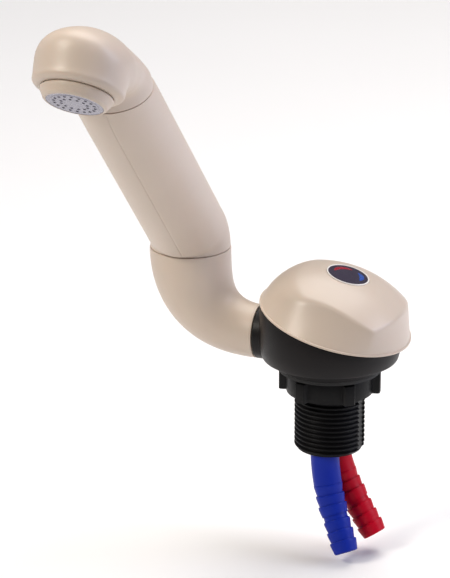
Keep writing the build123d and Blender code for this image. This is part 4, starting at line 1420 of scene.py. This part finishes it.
@dataclass
class ShowerRose:
    """Ring, plate and soft jets of the rose."""

    ring_radius: float = 16.4
    ring_edge: float = 0.3
    ring_waist: tuple[Pair, ...] = ((0.2, 1.5), (0.6, 2.4))
    ring_bore: float = 11.6
    ring_columns: int = 112
    face_radius: float = 14.9
    neck_radius: float = 15.8
    neck_depth: float = 8.0
    projection: float = 5.3
    edge_round: float = 2.0
    round_start: float = 12.0
    round_rows: int = 9
    seat_gap: float = 0.05
    seat_edge: float = 0.25
    seat_depth: float = 1.4
    plate_radius: float = 12.9
    plate_drop: float = 0.1
    plate_thickness: float = 1.3
    plate_edge: float = 0.15
    plate_columns: int = 96
    pad_radius: float = 10.9
    pad_edge: float = 0.1
    pad_rise: Pair = (0.12, 0.16)
    pinhole: float = 0.02
    jet_rows: tuple[tuple[float, int], ...] = ((9.2, 18), (6.0, 12))
    jet_hole: float = 0.5
    jet_foot: float = 0.85
    jet_foot_rise: float = 0.01
    jet_top: float = 0.66
    jet_edge: Pair = (0.05, 0.06)
    jet_root: Pair = (0.62, 0.02)
    jet_height: float = 0.26
    jet_depth: float = 1.0
    jet_columns: int = 20
    mouth_lift: float = 0.2

    def ring_outline(self) -> list[Pair]:
        """Lays the section of the ring.

        Returns:
            Radius and height pairs, from its neck over the face to the plate's seat.
        """
        high, widest, edge = self.projection, self.ring_radius, self.ring_edge
        seat, floor = self.plate_radius + self.seat_gap, high - self.plate_drop - self.seat_depth
        centre = (self.face_radius - self.edge_round, high - self.edge_round)
        return [
            (self.neck_radius, -self.neck_depth), (self.neck_radius, SEAM_GAP),
            (widest - edge, SEAM_GAP), (widest, SEAM_GAP + edge),
            *((widest - inset, height) for inset, height in self.ring_waist),
            *arc_points(centre, self.edge_round, self.round_start, 90, self.round_rows),
            (seat + self.seat_edge, high), (seat, high - self.seat_edge), (seat, floor),
            (self.ring_bore, floor), (self.ring_bore, -self.neck_depth),
        ]

    def build(self) -> None:
        """Makes the ring, the plate, its jets and the painted shade in the jets' mouths."""
        ring = turned("rose_collar", ROSE_SEAT, self.ring_outline(), self.ring_columns)
        fit(ring, "head_body", Finish.IVORY_ASA, ["rose_ring"])
        face = self.projection - self.plate_drop
        back, pin, wide, edge = face - self.plate_thickness, self.pinhole, self.plate_radius, self.plate_edge
        plate = [
            (pin, back), (wide, back), (wide, face - edge), (wide - edge, face), (self.pad_radius, face),
            (self.pad_radius - self.pad_edge, face + self.pad_rise[0]), (pin, face + self.pad_rise[1]),
        ]
        disc = turned("rose_face", ROSE_SEAT, plate, self.plate_columns)
        fit(disc, "head_body", Finish.ROSE_ABS, ["rose_plate"])
        hole, top, deep = self.jet_hole, face + self.jet_height, face - self.jet_depth
        (inner, outer), (root, drop) = self.jet_edge, self.jet_root
        jet = [
            (hole, deep), (hole, top - inner), (hole + inner, top), (self.jet_top, top),
            (self.jet_top + outer, top - outer), (self.jet_foot, face + self.jet_foot_rise),
            (root, face - drop), (root, deep),
        ]
        # Painted shade: near-black discs fill each jet's mouth, where the hole lies in shade
        lift = face + self.mouth_lift
        mouth = [(pin, face), (hole, face), (hole, lift), (pin, lift)]
        for row, (circle, count) in enumerate(self.jet_rows):
            self.circle_of(f"rose_jets_{row + 1}", circle, count, jet, Finish.JET_SILICONE)
            self.circle_of(f"rose_mouth_shade_{row + 1}", circle, count, mouth, Finish.JET_SHADOW)

    def circle_of(
        self, name: str, circle: float, count: int, outline: Outline, finish: MouldedPlastic
    ) -> None:
        """Makes equal small turned pieces in a circle on the rose.

        Args:
            name: name of the joined piece.
            circle: radius of the circle.
            count: how many there are.
            outline: section of one of them.
            finish: what it is made of.
        """
        jets = []
        for angle in even_angles(count):
            origin = ROSE_SEAT.point(*polar(circle, angle))
            jets.append(turned(name, Station(origin, ROSE_SEAT.x, ROSE_SEAT.z), outline, self.jet_columns))
        fit(join(name, jets), "head_body", finish)


@dataclass
class InnerWorks:
    """Everything inside the tap that keeps its plain solid."""

    groups: tuple[tuple[Surface, tuple[str, ...]], ...] = (
        (Finish.NITRILE, ("tail_o_rings", "cartridge_seal", "outlet_o_rings", "arm_o_rings",
                          "head_o_ring", "rose_gasket")),
        (Finish.NATURAL_ACETAL, ("valve_block", "cartridge_case", "knob_hub", "elbow_spigot",
                                 "arm_spigot", "water_tube", "arm_bearing", "head_spigot")),
        (Finish.ALUMINA, ("fixed_disc", "moving_disc")),
        (Finish.BRASS, ("spindle", "cartridge_ring")),
        (Finish.STAINLESS, ("knob_screw", "outlet_clip", "arm_clip", "head_clip", "rose_strainer")),
    )

    def build(self) -> None:
        """Dresses each solid."""
        for finish, nodes in self.groups:
            for node in nodes:
                dress(node, finish)


# Studio


@dataclass(frozen=True)
class Softbox:
    """Square softbox: its place and side in metres, its power in watts, its tint and its beam."""

    name: str
    place: tuple[float, float, float]
    size: float
    power: float
    tint: str
    beam: float = 180.0

    def hang(self, aim: Vector) -> None:
        """Hangs it so that it faces a point.

        Args:
            aim: the point, in metres.
        """
        lamp = bpy.data.lights.new(self.name, "AREA")
        lamp.shape = "SQUARE"
        lamp.size = self.size
        lamp.energy = self.power
        lamp.spread = math.radians(self.beam)
        lamp.color = linear(self.tint)[:3]
        box = link(self.name, lamp)
        box.location = self.place
        box.rotation_euler = (aim - Vector(self.place)).to_track_quat("-Z", "Y").to_euler()


@dataclass
class Studio:
    """Pale sweep, soft lights and the camera at the photograph's angle."""

    azimuth: float = 20.0
    elevation: float = 19.5
    distance: float = 1880.0
    focal_px: float = 4000.0
    frame_height_px: float = 578.0
    sensor_mm: float = 36.0
    clip_end: float = 50.0
    origin_px: Pair = (330.0, 367.9)
    centre_px: Pair = (225.0, 289.0)
    floor_drop_mm: float = 3.0
    floor_size_mm: float = 9000.0
    floor_share: float = 0.6
    curve_mm: float = 900.0
    curve_start: float = 0.1
    curve_rows: int = 12
    softboxes: tuple[Softbox, ...] = (
        Softbox("top_softbox", (0.0, 0.6, 1.9), 1.8, 42.0, "#fffcf9"),
        Softbox("key_softbox", (-0.6, -0.78, 0.78), 0.4, 1.1, "#fff8ee", 60.0),
        Softbox("right_softbox", (1.3, 0.3, 0.7), 1.0, 15.0, "#e4e8ff"),
        Softbox("left_softbox", (-1.4, 0.3, 0.5), 1.0, 2.0, "#dfe4ff"),
    )
    aim: tuple[float, float, float] = (-0.04, -0.05, 0.06)
    surroundings: str = "#f7f6f6"
    surroundings_strength: float = 0.1

    def floor(self) -> None:
        """Makes the sweep under the lowest point of the tap."""
        low = CAD_BOX[0].z / MM - self.floor_drop_mm
        half = self.floor_size_mm / 2
        back, curve = half * self.floor_share, self.curve_mm
        rows = [Vector((0, -half, low)), Vector((0, back, low))]
        for turn in spread(self.curve_start, math.pi / 2, self.curve_rows):
            rows.append(Vector((0, back + curve * math.sin(turn), low + curve * (1 - math.cos(turn)))))
        rows.append(Vector((0, back + curve, low + half)))
        points = [tuple((row + Vector((x, 0, 0))) * MM) for row in rows for x in (-half, half)]
        faces = [(2 * k, 2 * k + 1, 2 * k + 3, 2 * k + 2) for k in range(len(rows) - 1)]
        mesh = bpy.data.meshes.new("studio_sweep")
        mesh.from_pydata(points, [], faces)
        mesh.shade_smooth()
        mesh.materials.append(paint(Finish.SWEEP_PAPER))
        link("studio_sweep", mesh)

    def lights(self) -> None:
        """Hangs the softboxes and sets the pale surroundings."""
        for softbox in self.softboxes:
            softbox.hang(Vector(self.aim))
        world = bpy.data.worlds.new("studio_surroundings")
        world.use_nodes = True
        tree = world.node_tree
        tree.nodes.clear()
        glow = add_node(tree, "ShaderNodeBackground", inputs={
            "Color": linear(self.surroundings), "Strength": self.surroundings_strength,
        })
        add_node(tree, "ShaderNodeOutputWorld", inputs={"Surface": glow.outputs["Background"]})
        bpy.context.scene.world = world

    def camera(self) -> None:
        """Places the camera so that the deck's origin falls where the photograph has it."""
        right = polar(1.0, self.azimuth)
        rise = math.radians(self.elevation)
        back = polar(math.cos(rise), self.azimuth - 90, math.sin(rise))
        up = back.cross(right)
        scale = self.distance / self.focal_px
        across = (self.origin_px[0] - self.centre_px[0]) * scale
        down = (self.origin_px[1] - self.centre_px[1]) * scale
        place = (back * self.distance - right * across + up * down) * MM
        lens = bpy.data.cameras.new("photo_camera")
        lens.sensor_width = self.sensor_mm
        lens.lens = self.focal_px * self.sensor_mm / self.frame_height_px
        lens.clip_end = self.clip_end
        camera = link("photo_camera", lens)
        turn = Matrix((right, up, back)).transposed().to_4x4()
        camera.matrix_world = Matrix.Translation(place) @ turn
        bpy.context.scene.camera = camera

    def build(self) -> None:
        """Sets up the whole studio."""
        self.floor()
        self.lights()
        self.camera()
        bpy.context.scene.view_settings.view_transform = "Standard"


def main() -> None:
    """Builds the dressed tap and its studio."""
    logging.basicConfig(level=logging.INFO, format="%(name)s: %(message)s")
    DeckBody().build()
    LuggedNut().build()
    cold = HoseTail(
        "cold_tail", side=-1, bend_start=36.0, bend_radius=65.0, bend_angle=30.0, end_length=19.0,
        heading=-35.6,
    )
    cold.build("cold_hose_tail", Finish.BLUE_POLYPROPYLENE, "blue_moulding")
    hot = HoseTail(
        "hot_tail", side=1, bend_start=32.0, bend_radius=52.0, bend_angle=35.0, end_length=24.3,
        heading=-13.3,
    )
    hot.build("hot_hose_tail", Finish.RED_POLYPROPYLENE, "red_moulding")
    for assembly in (DomeKnob, KnobBadge, FoldingElbow, SwivelArm, SpoutHood, ShowerRose, InnerWorks, Studio):
        assembly().build()


if __name__ == "__main__":
    main()
